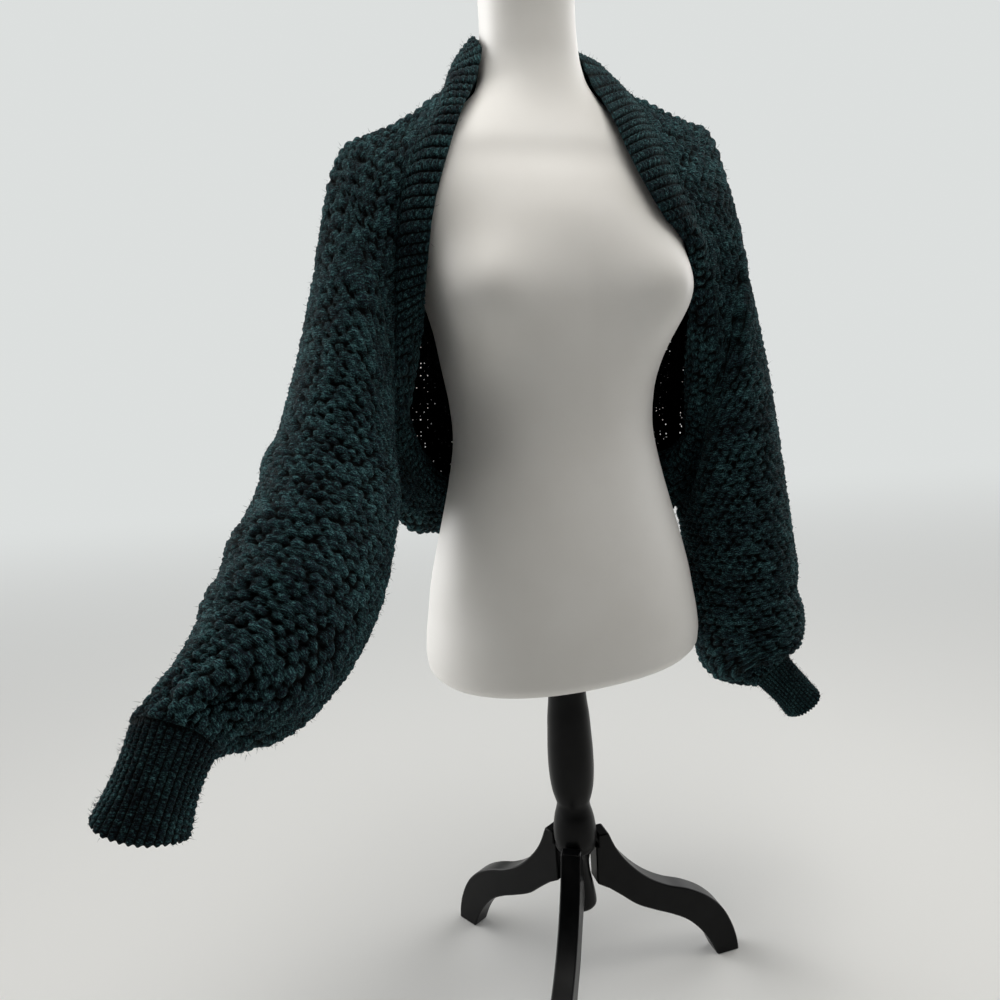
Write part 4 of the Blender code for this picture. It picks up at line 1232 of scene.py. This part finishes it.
def make_cuff(label, material):
    """A ribbed cuff, its ribs along the arm, with a soft flare and a rounded mouth."""
    side = SIDES[label]
    sign = side.sign
    _, _, path_axis = sleeve_cloth(label)
    count = CUFF_RIBS * CUFF_RIB_POINTS
    turn = np.arange(count) / count
    angles = np.radians(COLUMN_ANGLES[0]) - 2 * np.pi * turn
    start_ring = side.rows[-1]
    axis = unit((np.array(side.cuff_end.centre) - np.array(start_ring.centre)) * (sign, 1, 1))
    first = oval(start_ring, path_axis, sign, angles) + axis * GAP
    last = oval(side.cuff_end, axis, sign, angles)
    t = np.linspace(0, 1, CUFF_ROWS)
    base = first + t[:, None, None] * (last - first)
    normals = soft_normals(base, round_j=True, passes=6)
    centre = base.mean(axis=1, keepdims=True)
    if ((base - centre) * normals).sum() < 0:
        normals = -normals
    waist = np.sin(np.pi * t) * CUFF_WAIST[label]
    rippled = smoothstep((t - CUFF_RIPPLE_FROM) / (1 - CUFF_RIPPLE_FROM))[:, None]
    ripple = CUFF_RIPPLE * rippled * (
        np.cos(2 * np.pi * (3 * turn + 0.2)) + 0.6 * np.cos(2 * np.pi * (5 * turn + 0.63))
    )
    base = base + normals * (ripple - waist[:, None])[..., None]
    crest = np.cos(2 * np.pi * turn * CUFF_RIBS) + 0.8 * np.sin(2 * np.pi * turn * 3 + side.seed)
    scalloped = smoothstep((t - CUFF_SCALLOP_FROM) / (1 - CUFF_SCALLOP_FROM))[:, None]
    base = base + axis * (CUFF_SCALLOP * scalloped * crest)[..., None]
    down = lengths_from(base, 0)
    rib = np.broadcast_to(turn * CUFF_RIBS, base.shape[:2])
    height = rib_height(rib, down / CUFF_STITCH, side.seed + 3)
    ends = np.minimum(down, down[-1:] - down)
    height = eased_to(CUFF_EDGE_LEVEL, height, smoothstep(ends / RIM_FADE))
    mouth = quarter_round((down[-1:] - down) / CUFF_RIM_ROUND)
    thick = CUFF_RIB_FLOOR + CUFF_RIB_DEPTH * height
    middle = CUFF_WALL / 2
    outer = base + normals * (middle + (thick - middle) * mouth)[..., None]
    inner = base + normals * (middle * (1 - mouth) * RIM_SHARE)[..., None]
    outer[0] += unit(outer[0] - outer[2]) * CUFF_LAP + normals[0] * CUFF_LIFT
    lattice = np.stack([rib * CUFF_LATTICE, down], -1)
    outer, inner, height, lattice, normals = turned(
        (outer, inner, height, lattice, normals), sign
    )
    # the inner side takes painted shade, a share of the outer side's
    piece = knit_shell(
        "knit_cuff_" + label, outer, inner[::2, ::2], height, lattice, material, round_j=True,
        back_shade_level=CUFF_INNER_SHADE_SHARE * height[::2, ::2],
    )
    fibres = fuzz(
        "fuzz_cuff_" + label, outer, normals, height, HAIRS["cuff"], side.seed + 1, material
    )
    return piece, fibres


def drawn_to_form(points, tree):
    """Moves the collar's edge in towards the neck until a small gap is left.

    The move is the distance less the gap, times a share that rises with height.
    """
    short, out = shortfall(points, tree)
    low, high = COLLAR_HEIGHTS
    share = smoothstep((points[:, 2] - low) / (high - low))
    room = np.clip(-short - COLLAR_GAP, 0, COLLAR_PULL)
    return points - out * (room * share)[:, None]


def split_evenly(loops, pitch):
    """Cuts every segment of some matching closed loops into whole steps of about the pitch."""
    lead = loops[0]
    after = np.roll(lead, -1, axis=0)
    lengths = np.linalg.norm(after - lead, axis=1)
    cells = np.maximum(np.round(lengths / pitch), 1).astype(int)
    if cells.sum() % 2:
        cells[np.argmax(lengths / cells)] += 1
    segment = np.repeat(np.arange(len(lead)), cells)
    step = np.concatenate([np.arange(n) / n for n in cells])[:, None]
    return [
        loop[segment] * (1 - step) + np.roll(loop, -1, axis=0)[segment] * step for loop in loops
    ]


def band_cloth():
    """The band's inner face: the opening's edge, a swollen middle and the free edge, made fine."""
    coarse = body_cloth()[0]
    normals = unit(averaged(grid_normals(coarse), 4))
    coarse_out = coarse + normals * seam_offset()
    middle = BODY_CELLS_A_SIDE
    at = row_places()
    loops = []
    for grid in (coarse, coarse_out):
        closing = [strip_between(grid[row][-1], grid[row][0], CLOSING_CELLS) for row in (0, -1)]
        loops.append(
            np.concatenate([grid[middle:, 0], closing[1][::-1], grid[::-1, -1],
                            closing[0], grid[:middle, 0]])
        )
    left_front, left_hem, right_front, right_hem = (
        free_edge(rows, column, at, sign)
        for rows, sign in ((LEFT_FREE_EDGE, 1), (RIGHT_FREE_EDGE, -1))
        for column in ("front", "hem")
    )
    free = np.concatenate([
        left_front,
        strip_between(left_front[-1], left_hem[-1], CLOSING_CELLS),
        left_hem[::-1],
        right_hem[1:],
        strip_between(right_hem[-1], right_front[-1], CLOSING_CELLS),
        right_front[:0:-1],
    ])
    seam, seam_out, free = [loop[::-1] for loop in split_evenly(loops + [free], RIB_PITCH / 2)]
    inwards = square_to_loop(free - seam, seam)
    base = np.stack([seam + inwards * GAP, (seam + free) / 2, free], axis=1)
    base[:, 1] += grid_normals(base, round_i=True)[:, 1] * BAND_SWELL
    base[:, 2] = drawn_to_form(base[:, 2], form_tree())
    base = clear_of_form(base, form_tree(), round_i=True, held=1)
    out = seam_out + inwards * GAP - base[:, 0]
    count = len(base)
    places = np.arange(count * RIB_POINTS // 2) / (RIB_POINTS / 2)
    reach = 3
    wide = padded(np.concatenate([base, out[:, None]], axis=1), 0, reach=reach)
    wide = smooth_through(np.arange(len(wide)), wide, places + reach)
    out = wide[:, 3]
    base = np.swapaxes(wide[:, :3], 0, 1)
    v = np.linspace(0, 1, BAND_COLUMNS)
    base = np.swapaxes(smooth_through([0.0, 0.5, 1.0], base, v), 0, 1)
    normals = soft_normals(base, round_i=True, passes=6)
    lean = np.clip(1 - v / BAND_SEAM_LEAN, 0, 1)[None, :, None]
    normals = unit(normals * (1 - lean) + unit(out)[:, None] * lean)
    return base, normals, places


def rib_share(base):
    """How much of the ribs shows along the band: whole above the bust, little under the arms."""
    z = base[:, 0, 2]
    left = base[:, 0, 0] > 0
    low, high = np.where(left[:, None], RIBS_FADE["left"], RIBS_FADE["right"]).T
    return eased_to(RIBS_LEAST, 1, smoothstep((z - low) / (high - low)))


def make_band(material):
    """The ribbed band: ribs across it, each a column of V stitches, and a rounded free edge."""
    base, normals, places = band_cloth()
    across = lengths_across(base)
    width = across[:, -1:]
    rib = np.broadcast_to((places / 2)[:, None], base.shape[:2])
    along = np.broadcast_to(places[:, None] * RIB_PITCH / 2, base.shape[:2])
    share = rib_share(base)[:, None]
    plain = bump_height(along / STITCH_WIDTH, across / STITCH_HEIGHT, 5)
    height = eased_to(plain, rib_height(rib, across / RIB_STITCH, 2), share)
    fade = smoothstep(across / RIM_FADE)
    height = eased_to(EDGE_LEVEL, height, fade)
    thick = RIB_FLOOR + RIB_DEPTH * height
    thick = eased_to(seam_offset(), thick, fade)
    rim = quarter_round((width - across) / RIM_ROUND)
    middle = WALL / 2
    outer = base + normals * (middle + (thick - middle) * rim)[..., None]
    outer[:, 0] += unit(outer[:, 0] - outer[:, 2]) * LAP_OVER + normals[:, 0] * LAP_LIFT
    hollow = RIB_BACK * (1 - height) * rim * fade
    inner = (base + normals * (middle * (1 - rim) * RIM_SHARE + hollow)[..., None])[::2, ::2]
    lattice = np.stack([along, across], -1)
    # the inner side takes the same painted shade in its grooves, and painted light on its crests,
    # as the outer one
    piece = knit_shell(
        "knit_band", outer, inner, height, lattice, material, round_i=True,
        back_shade_level=height[::2, ::2],
    )
    return piece, fuzz("fuzz_band", outer, normals, height, HAIRS["band"], 5, material)


# ---------------------------------------------------------------- form and stand

FORM_LEVELS = 150
FORM_COLUMNS = 128
FORM_INSET = 0.0004
NECK_EDGE = FormRing(1.1900, 0.0500, 0.0430, 0.057)  # keeps the neck straight to its top edge
POLE_LEVELS = 130
POLE_COLUMNS = 48
LEG_BEVEL = 0.0018


def closed_stack(name, rings, material):
    """A closed surface through stacked rings: bands of quads, and a fan at each end."""
    levels, columns = rings.shape[:2]
    index = round_again(np.arange(levels * columns).reshape(levels, columns), False, True)
    quads = cells_of(index)[..., [0, 3, 2, 1]]
    bottom = levels * columns
    top = bottom + 1
    points = np.concatenate([rings.reshape(-1, 3), rings[[0, -1]].mean(axis=1)])
    low = np.stack([index[0, 1:], index[0, :-1], np.full(columns, bottom)], -1)
    high = np.stack([index[-1, :-1], index[-1, 1:], np.full(columns, top)], -1)
    return new_object(name, points, quads.reshape(-1, 4), np.concatenate([low, high]), material)


def form_surface():
    """The form's rings: superellipses, their sizes smooth with height, and two soft mounds."""
    rows = np.array(FORM_RINGS[:-2] + (NECK_EDGE,) + FORM_RINGS[-2:])
    knots = rows[:, 0]
    z = np.linspace(knots[0], knots[-1], FORM_LEVELS)
    sizes = smooth_through(knots, rows[:, 1:], z)
    angle = 2 * np.pi * np.arange(FORM_COLUMNS) / FORM_COLUMNS
    half_width, front, back = sizes.T[..., None]
    depth = np.where(np.sin(angle)[None] < 0, front, back)
    across = np.abs(np.cos(angle))[None] / half_width
    through = np.abs(np.sin(angle))[None] / depth
    radius = (across**FORM_ROUNDNESS + through**FORM_ROUNDNESS) ** (-1 / FORM_ROUNDNESS)
    radius = radius - FORM_INSET
    x = radius * np.cos(angle)[None]
    y = radius * np.sin(angle)[None]
    level = z[:, None]
    mound = np.exp(
        -(((np.abs(x) - BUST_X) / BUST_SPREAD_X) ** 2) - ((level - BUST_Z) / BUST_SPREAD_Z) ** 2
    )
    facing = np.clip(-BUST_FACING * np.sin(angle)[None], 0, 1)
    push = BUST_RISE * mound * smoothstep(facing)
    x = x + push * np.sin(np.radians(BUST_TURN)) * np.tanh(x / BUST_PARTING)
    y = y - push * np.cos(np.radians(BUST_TURN))
    return np.stack([x, y, np.broadcast_to(level, x.shape)], -1)


def make_form(material):
    """The limbless dress form: a smooth closed shell with an eased lower edge and a flat neck."""
    return closed_stack("form_shell", form_surface(), material)


def make_pole(material):
    """The turned pole: its profile, from the hub up, carried round the axis."""
    radii, heights = walked_curve(POLE_PROFILE[::-1], POLE_LEVELS).T
    return closed_stack("stand_pole", rings_round(radii, heights, POLE_COLUMNS), material)


def leg_outline():
    """The board's outline: top and underside made smooth by walked length, straight at the hub."""
    inner = HUB_RADIUS + GAP
    step_out = COLLAR_RADIUS + GAP
    return np.concatenate(
        [
            [(step_out, LEG_TOP[0][1])],
            walked_curve(LEG_TOP, 44),
            walked_curve(LEG_UNDERSIDE, 40),
            [(inner, LEG_UNDERSIDE[-1][1] + LEG_ROOT_RISE)],
            [(inner, HUB_TOP - GAP), (step_out, HUB_TOP - GAP)],
        ]
    )


def make_leg(name, degrees, material):
    """A board leg: the outline pushed both ways from its middle plane, its long edges eased."""
    outline = leg_outline()
    turn = np.radians(degrees)
    outwards = np.array([np.cos(turn), np.sin(turn), 0.0])
    aside = np.array([-np.sin(turn), np.cos(turn), 0.0])
    flat = outline[:, :1] * outwards + outline[:, 1:] * np.array([0.0, 0.0, 1.0])
    half = LEG_THICKNESS / 2
    points = np.concatenate([flat - aside * half, flat + aside * half])
    count = len(flat)
    near = np.arange(count)
    after = (near + 1) % count
    quads = np.stack([near, after, after + count, near + count], -1)
    mesh = bpy.data.meshes.new(name)
    faces = [tuple(int(k) for k in q) for q in quads]
    faces += [tuple(range(count))[::-1], tuple(range(count, 2 * count))]
    mesh.from_pydata([tuple(p) for p in points + AXIS], [], faces)
    mesh.validate()
    piece = placed(mesh, material)
    ease = piece.modifiers.new("eased edges", "BEVEL")
    ease.width = LEG_BEVEL
    ease.segments = 2
    ease.limit_method = "ANGLE"
    ease.angle_limit = np.radians(50)
    mesh.shade_smooth()
    mesh.set_sharp_from_angle(angle=np.radians(40))
    return piece


# ---------------------------------------------------------------- finishes


def fill(tree, node, inputs):
    """Each input given is linked if it is a socket, and set if it is a plain value."""
    for name, value in inputs.items():
        if isinstance(value, bpy.types.NodeSocket):
            tree.links.new(value, node.inputs[name])
        else:
            node.inputs[name].default_value = value


def added(tree, kind, output, inputs, **settings):
    """One output of a new node with the given inputs and settings."""
    node = tree.nodes.new("ShaderNode" + kind)
    for name, value in settings.items():
        setattr(node, name, value)
    fill(tree, node, inputs)
    return node.outputs[output]


def new_material(name):
    """A material, its Principled shader and its object coordinates."""
    material = bpy.data.materials.new(name)
    material.use_nodes = True
    tree = material.node_tree
    return material, tree.nodes["Principled BSDF"], added(tree, "TexCoord", "Object", {})


def ramp(tree, value, stops):
    """A colour for the value, from (place, colour) stops."""
    colour = added(tree, "ValToRGB", "Color", {"Fac": value})
    elements = colour.node.color_ramp.elements
    while len(elements) > 1:
        elements.remove(elements[-1])
    elements[0].position, elements[0].color = stops[0][0], (*stops[0][1], 1.0)
    for place, stop in stops[1:]:
        elements.new(place).color = (*stop, 1.0)
    return colour


def noise(tree, vector, scale, detail, roughness=0.5, distortion=0.0):
    """A noise texture read at the given vector."""
    return added(tree, "TexNoise", "Fac", {
        "Vector": vector, "Scale": scale, "Detail": detail, "Roughness": roughness,
        "Distortion": distortion,
    })


def ranged(tree, value, start, end, low=0.0, high=1.0, **settings):
    """The value's stretch from start to end carried to the one from low to high."""
    return added(tree, "MapRange", "Result", {
        "Value": value, "From Min": start, "From Max": end, "To Min": low, "To Max": high,
    }, **settings)


def bumped(tree, height, strength, distance, **normal):
    """A normal tilted by the height."""
    inputs = {"Height": height, "Strength": strength, "Distance": distance}
    return added(tree, "Bump", "Normal", inputs | normal)


def maths(tree, kind, first, second):
    """A maths node of the given kind; each input is a socket or a plain number."""
    return added(tree, "Math", 0, {0: first, 1: second}, operation=kind)


STRANDS = 760.0  # of the yarn's strands, to a metre
STRAND_SLANTS = (38.0, -42.0)  # degrees from the knit's rows
STRAND_STRETCH = (0.30, 1.0, 1.0)
DYE_SHARES = (0.48, 0.34, 0.18)  # of strands, flecks and clouds in the mixture of dyes
DYE_PLACES = (0.40, 0.47, 0.515, 0.63)  # on the ramp: shade, navy, green, light


def yarn_material(name, colours):
    """Heathered wool-look yarn: dyes mixed in strands and clouds, painted near black in the pits
    as shade.

    Strands are noise pulled along the rows of the knit, which its UV map (in metres) follows, and
    bent by its own distortion. Clouds are broad noise that shifts the mixture of dyes.
    """
    material, shader, place = new_material(name)
    tree = material.node_tree
    clouds = noise(tree, place, 30.0, 3.0, 0.6)
    flecks = noise(tree, place, 800.0, 2.0, 0.6)
    knit = added(tree, "UVMap", "UV", {}, uv_map="knit_places")
    slants = []
    for degrees in STRAND_SLANTS:
        pulled = added(tree, "Mapping", "Vector", {
            "Vector": knit, "Rotation": (0.0, 0.0, np.radians(degrees)), "Scale": STRAND_STRETCH,
        })
        slants.append(noise(tree, pulled, STRANDS, 2.0, 0.6, 0.6))
    which = ranged(tree, noise(tree, place, 150.0, 1.0), 0.46, 0.54)
    strands = added(tree, "Mix", "Result", {"Factor": which, "A": slants[0], "B": slants[1]})
    mixture = 0.0
    for source, share in zip((strands, flecks, clouds), DYE_SHARES):
        mixture = maths(tree, "ADD", mixture, maths(tree, "MULTIPLY", source, share))
    dyes = ramp(tree, mixture, colours)
    height = added(tree, "Attribute", "Fac", {}, attribute_name="height_for_painted_shade")
    # painted shade and light: the knit's height scales the dyes, near black in the pits and paler
    # on the bumps' tops
    depth = ranged(tree, height, 0.32, 0.95, 0.05, 1.55)
    shade = added(tree, "VectorMath", "Vector", {0: dyes, "Scale": depth}, operation="SCALE")
    rough = bumped(tree, strands, 0.75, 0.0012)
    fill(tree, shader, {
        "Base Color": shade, "Normal": bumped(tree, flecks, 0.6, 0.0008, Normal=rough),
        "Roughness": 0.95, "Specular IOR Level": 0.12, "Sheen Weight": 0.05,
        "Sheen Roughness": 0.5, "Sheen Tint": (0.42, 0.62, 0.62, 1.0),
    })
    return material


def plain_material(name, clouds, stops, gloss, grain, bump, specular):
    """A painted or moulded surface: faint clouds in its tone and gloss, and a fine grain.

    `clouds` and `grain` are a noise's scale, detail and roughness. `gloss` is the range of the
    surface's roughness. `bump` is the grain's strength.
    """
    material, shader, place = new_material(name)
    tree = material.node_tree
    cloudy = noise(tree, place, *clouds)
    fill(tree, shader, {
        "Base Color": ramp(tree, cloudy, stops),
        "Roughness": ranged(tree, cloudy, 0.0, 1.0, *gloss),
        "Normal": bumped(tree, noise(tree, place, *grain), bump, 0.0004),
        "Specular IOR Level": specular,
    })
    return material


# Off-white moulded shell, and black satin paint on wood with a little dust.
FORM_FINISH = (
    (9.0, 3.0), ((0.30, (0.745, 0.725, 0.690)), (0.70, (0.800, 0.785, 0.755))),
    (0.42, 0.54), (700.0, 2.0), 0.06, 0.4,
)
STAND_FINISH = (
    (45.0, 4.0, 0.6), ((0.35, (0.0012, 0.0014, 0.0016)), (0.75, (0.0036, 0.0038, 0.0041))),
    (0.26, 0.40), (420.0, 3.0, 0.6), 0.10, 0.12,
)

# ---------------------------------------------------------------- studio

CAMERA_PLACE = (-0.3522, -0.7795, 0.79)  # from the stand's axis
CAMERA_TURN = 20.0  # degrees round to the form's right
CAMERA_PITCH = 9.5  # degrees below the horizon
CAMERA_ROLL = 4.0
CAMERA_LENS = 27.0
SENSOR = 36.0


def camera_frame():
    """Right, up and back vectors of the camera, from its turn, pitch and roll."""
    turn = np.radians(CAMERA_TURN)
    pitch = np.radians(CAMERA_PITCH)
    roll = np.radians(CAMERA_ROLL)
    forward = np.array([np.sin(turn), np.cos(turn), 0.0])
    side = np.array([np.cos(turn), -np.sin(turn), 0.0])
    up = np.array([0.0, 0.0, 1.0])
    looking = np.cos(pitch) * forward - np.sin(pitch) * up
    down = -np.sin(pitch) * forward - np.cos(pitch) * up
    right = np.cos(roll) * side + np.sin(roll) * down
    image_down = -np.sin(roll) * side + np.cos(roll) * down
    return right, -image_down, -looking


def make_camera():
    """The camera, on the form's right and a little above its waist, looking slightly down."""
    data = bpy.data.cameras.new("studio_camera")
    data.lens = CAMERA_LENS
    data.sensor_width = SENSOR
    data.clip_start = 0.02
    data.clip_end = 100.0
    camera = bpy.data.objects.new("studio_camera", data)
    right, up, back = camera_frame()
    rows = np.stack([right, up, back, CAMERA_PLACE + AXIS], 1)
    camera.matrix_world = Matrix([*rows.tolist(), (0.0, 0.0, 0.0, 1.0)])
    bpy.context.scene.collection.objects.link(camera)
    bpy.context.scene.camera = camera


FLOOR_RADIUS = 9.0
FLOOR_RINGS = 60
FLOOR_COLUMNS = 96
FLOOR_CROWDING = 1.6  # how much closer the floor's rings lie near the stand
FLOOR_FADE = (-0.3, 4.2)  # metres behind the stand where the backdrop's light starts and is whole


def make_floor():
    """A round pale floor. Far behind, it gives off the backdrop's own light, so no line shows."""
    radius = FLOOR_RADIUS * (np.arange(FLOOR_RINGS + 1) / FLOOR_RINGS) ** FLOOR_CROWDING
    rings = rings_round(radius[1:], np.zeros(FLOOR_RINGS), FLOOR_COLUMNS)
    index = np.arange(FLOOR_RINGS * FLOOR_COLUMNS).reshape(FLOOR_RINGS, FLOOR_COLUMNS)
    index = round_again(index, False, True)
    points = np.concatenate([rings.reshape(-1, 3), [[0.0, 0.0, 0.0]]])
    fan = np.stack([index[0, :-1], index[0, 1:], np.full(FLOOR_COLUMNS, len(points) - 1)], -1)
    quads = cells_of(index).reshape(-1, 4)
    settings = bpy.context.scene.shrug_studio
    material, shader, place = new_material("studio_paper")
    tree = material.node_tree
    fill(tree, shader, {
        "Base Color": (*settings.floor_colour, 1.0), "Roughness": 0.75, "Specular IOR Level": 0.2,
    })
    glow = added(tree, "Emission", "Emission", {
        "Color": (*settings.backdrop_colour, 1.0), "Strength": settings.backdrop_light,
    })
    turn = np.radians(CAMERA_TURN)
    behind = added(tree, "VectorMath", "Value", {0: place, 1: (np.sin(turn), np.cos(turn), 0.0)},
                   operation="DOT_PRODUCT")
    fade = ranged(tree, behind, *FLOOR_FADE, interpolation_type="SMOOTHSTEP")
    mix = added(tree, "MixShader", "Shader", {"Fac": fade, 1: shader.outputs["BSDF"], 2: glow})
    fill(tree, tree.nodes["Material Output"], {"Surface": mix})
    new_object("studio_floor", points, quads, fan, material)


TOWARDS_WINDOW = (-1.0, 0.85, 0.2)
TOWARDS_WALL = (1.0, 0.22, 0.1)
LOBE_POWER = 7.0  # how narrow the two bright parts of the surround are


def make_world():
    """A pale surround: one even tone for the eye, and a gradient that lights from behind."""
    settings = bpy.context.scene.shrug_studio
    world = bpy.data.worlds.new("studio_world")
    bpy.context.scene.world = world
    world.use_nodes = True
    tree = world.node_tree
    tree.nodes.clear()
    seen = added(tree, "Background", "Background", {
        "Color": (*settings.backdrop_colour, 1.0), "Strength": settings.backdrop_light,
    })
    direction = added(tree, "TexCoord", "Generated", {})
    level = 0.0
    for towards, strength in ((TOWARDS_WINDOW, settings.window), (TOWARDS_WALL, settings.wall)):
        lobe = added(tree, "VectorMath", "Value",
                     {0: direction, 1: Vector(towards).normalized()}, operation="DOT_PRODUCT")
        for kind, value in (("MAXIMUM", 0.0), ("POWER", LOBE_POWER), ("MULTIPLY", strength)):
            lobe = maths(tree, kind, lobe, value)
        level = maths(tree, "ADD", lobe, level)
    lighting = added(tree, "Background", "Background", {"Strength": level})
    eye = added(tree, "LightPath", "Is Camera Ray", {})
    mix = added(tree, "MixShader", "Shader", {"Fac": eye, 1: lighting, 2: seen})
    fill(tree, tree.nodes.new("ShaderNodeOutputWorld"), {"Surface": mix})


SoftLight = namedtuple("SoftLight", "name place aim size power tint")
LIGHTS = (
    SoftLight("overhead", (0.04, -0.22, 2.2), (0.0, 0.0, 0.9), 1.1, 23.5, (1.0, 0.985, 0.95)),
)


def make_lights():
    """Square soft lights, each aimed at a place near the form."""
    for light in LIGHTS:
        data = bpy.data.lights.new(light.name, "AREA")
        data.shape = "SQUARE"
        data.size = light.size
        data.energy = light.power
        data.color = light.tint
        lamp = bpy.data.objects.new(light.name, data)
        lamp.location = Vector(light.place) + Vector(AXIS)
        aim = Vector(light.aim) - Vector(light.place)
        lamp.rotation_euler = aim.to_track_quat("-Z", "Y").to_euler()
        bpy.context.scene.collection.objects.link(lamp)


# ---------------------------------------------------------------- the add-on


def colour_setting(name, description, default):
    """A setting that holds a colour."""
    return bpy.props.FloatVectorProperty(
        name=name, description=description, subtype="COLOR", default=default, min=0.0, max=1.0,
    )


def light_setting(name, description, default, most=20.0):
    """A setting that holds a strength of light."""
    return bpy.props.FloatProperty(
        name=name, description=description, default=default, min=0.0, max=most,
    )


class ShrugYarn(bpy.types.PropertyGroup):
    """Colours of the yarn."""

    shade: colour_setting("Shade", "Darkest dye in the yarn", (0.0008, 0.0016, 0.0020))
    green: colour_setting("Green", "Main dye in the yarn", (0.0068, 0.0225, 0.0250))
    navy: colour_setting("Navy", "Blue flecks in the yarn", (0.0050, 0.0095, 0.0150))
    light: colour_setting("Light", "Palest flecks in the yarn", (0.0450, 0.1130, 0.1210))


class ShrugStudio(bpy.types.PropertyGroup):
    """Tones of the studio."""

    floor_colour: colour_setting("Floor", "Colour of the floor", (0.80, 0.80, 0.78))
    backdrop_colour: colour_setting("Backdrop", "Colour of the surround", (0.97, 1.0, 0.99))
    backdrop_light: light_setting("Backdrop light", "Brightness of the surround", 0.74, 5.0)
    window: light_setting("Window", "Light from the room's corner, behind and to the left", 7.6)
    wall: light_setting("Wall", "Light from the room's right side", 5.6)


def yarn():
    """The yarn's material, made once."""
    name = "yarn_heathered"
    dyes = bpy.context.scene.shrug_yarn
    colours = (tuple(dye) for dye in (dyes.shade, dyes.navy, dyes.green, dyes.light))
    known = bpy.data.materials.get(name)
    return known or yarn_material(name, tuple(zip(DYE_PLACES, colours)))


def settle(piece, node, fibres=None):
    """A finished piece rides on the one body and replaces its solid."""
    for made in filter(None, (piece, fibres)):
        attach(made, "root")
    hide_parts(node)


class SHRUG_OT_stage(bpy.types.Operator):
    """Floor, surround, soft lights and camera"""

    bl_idname = "shrug.stage"
    bl_label = "Studio"

    def execute(self, context):
        make_floor()
        make_world()
        make_lights()
        make_camera()
        context.scene.view_settings.view_transform = "Standard"
        return {"FINISHED"}


class SHRUG_OT_form(bpy.types.Operator):
    """The limbless dress form"""

    bl_idname = "shrug.form"
    bl_label = "Dress form"

    def execute(self, context):
        satin = plain_material("form_satin", *FORM_FINISH)
        settle(make_form(satin), "torso")
        return {"FINISHED"}


class SHRUG_OT_stand(bpy.types.Operator):
    """The turned pole and its board legs"""

    bl_idname = "shrug.stand"
    bl_label = "Stand"

    def execute(self, context):
        paint = plain_material("stand_paint", *STAND_FINISH)
        settle(make_pole(paint), "pole")
        for name, degrees in LEG_ANGLES.items():
            settle(make_leg("board_" + name, degrees, paint), name)
        return {"FINISHED"}


class SHRUG_OT_body(bpy.types.Operator):
    """The knitted panel over the shoulders and back"""

    bl_idname = "shrug.body"
    bl_label = "Panel"

    def execute(self, context):
        piece, fibres = make_body(yarn())
        settle(piece, "body", fibres)
        return {"FINISHED"}


class SHRUG_OT_sleeves(bpy.types.Operator):
    """Both balloon sleeves"""

    bl_idname = "shrug.sleeves"
    bl_label = "Sleeves"

    def execute(self, context):
        for label in ("right", "left"):
            piece, fibres = make_sleeve(label, yarn())
            settle(piece, "sleeve_" + label, fibres)
        return {"FINISHED"}


class SHRUG_OT_band(bpy.types.Operator):
    """The ribbed band round the whole opening"""

    bl_idname = "shrug.band"
    bl_label = "Band"

    def execute(self, context):
        piece, fibres = make_band(yarn())
        settle(piece, "band", fibres)
        return {"FINISHED"}


class SHRUG_OT_cuffs(bpy.types.Operator):
    """Both ribbed cuffs"""

    bl_idname = "shrug.cuffs"
    bl_label = "Cuffs"

    def execute(self, context):
        for label in ("right", "left"):
            piece, fibres = make_cuff(label, yarn())
            settle(piece, "cuff_" + label, fibres)
        return {"FINISHED"}


class SHRUG_PT_panel(bpy.types.Panel):
    """Colours, light strengths and the steps that make the shrug"""

    bl_label = "Shrug"
    bl_idname = "SHRUG_PT_panel"
    bl_space_type = "VIEW_3D"
    bl_region_type = "UI"
    bl_category = "Shrug"

    def draw(self, context):
        for group in (context.scene.shrug_yarn, context.scene.shrug_studio):
            for name in group.__annotations__:
                self.layout.prop(group, name)
        for step in STEPS:
            self.layout.operator(step.bl_idname)


STEPS = (
    SHRUG_OT_stage,
    SHRUG_OT_form,
    SHRUG_OT_stand,
    SHRUG_OT_body,
    SHRUG_OT_sleeves,
    SHRUG_OT_band,
    SHRUG_OT_cuffs,
)
CLASSES = (ShrugYarn, ShrugStudio) + STEPS + (SHRUG_PT_panel,)


def register():
    """Makes the add-on's classes and settings known to Blender."""
    for kind in CLASSES:
        bpy.utils.register_class(kind)
    bpy.types.Scene.shrug_yarn = bpy.props.PointerProperty(type=ShrugYarn)
    bpy.types.Scene.shrug_studio = bpy.props.PointerProperty(type=ShrugStudio)


def unregister():
    """Takes the add-on's settings and classes away again."""
    del bpy.types.Scene.shrug_yarn
    del bpy.types.Scene.shrug_studio
    for kind in reversed(CLASSES):
        bpy.utils.unregister_class(kind)


def main():
    """Makes every piece in order."""
    register()
    for step in STEPS:
        group, name = step.bl_idname.split(".")
        getattr(getattr(bpy.ops, group), name)()


if __name__ == "__main__":
    main()
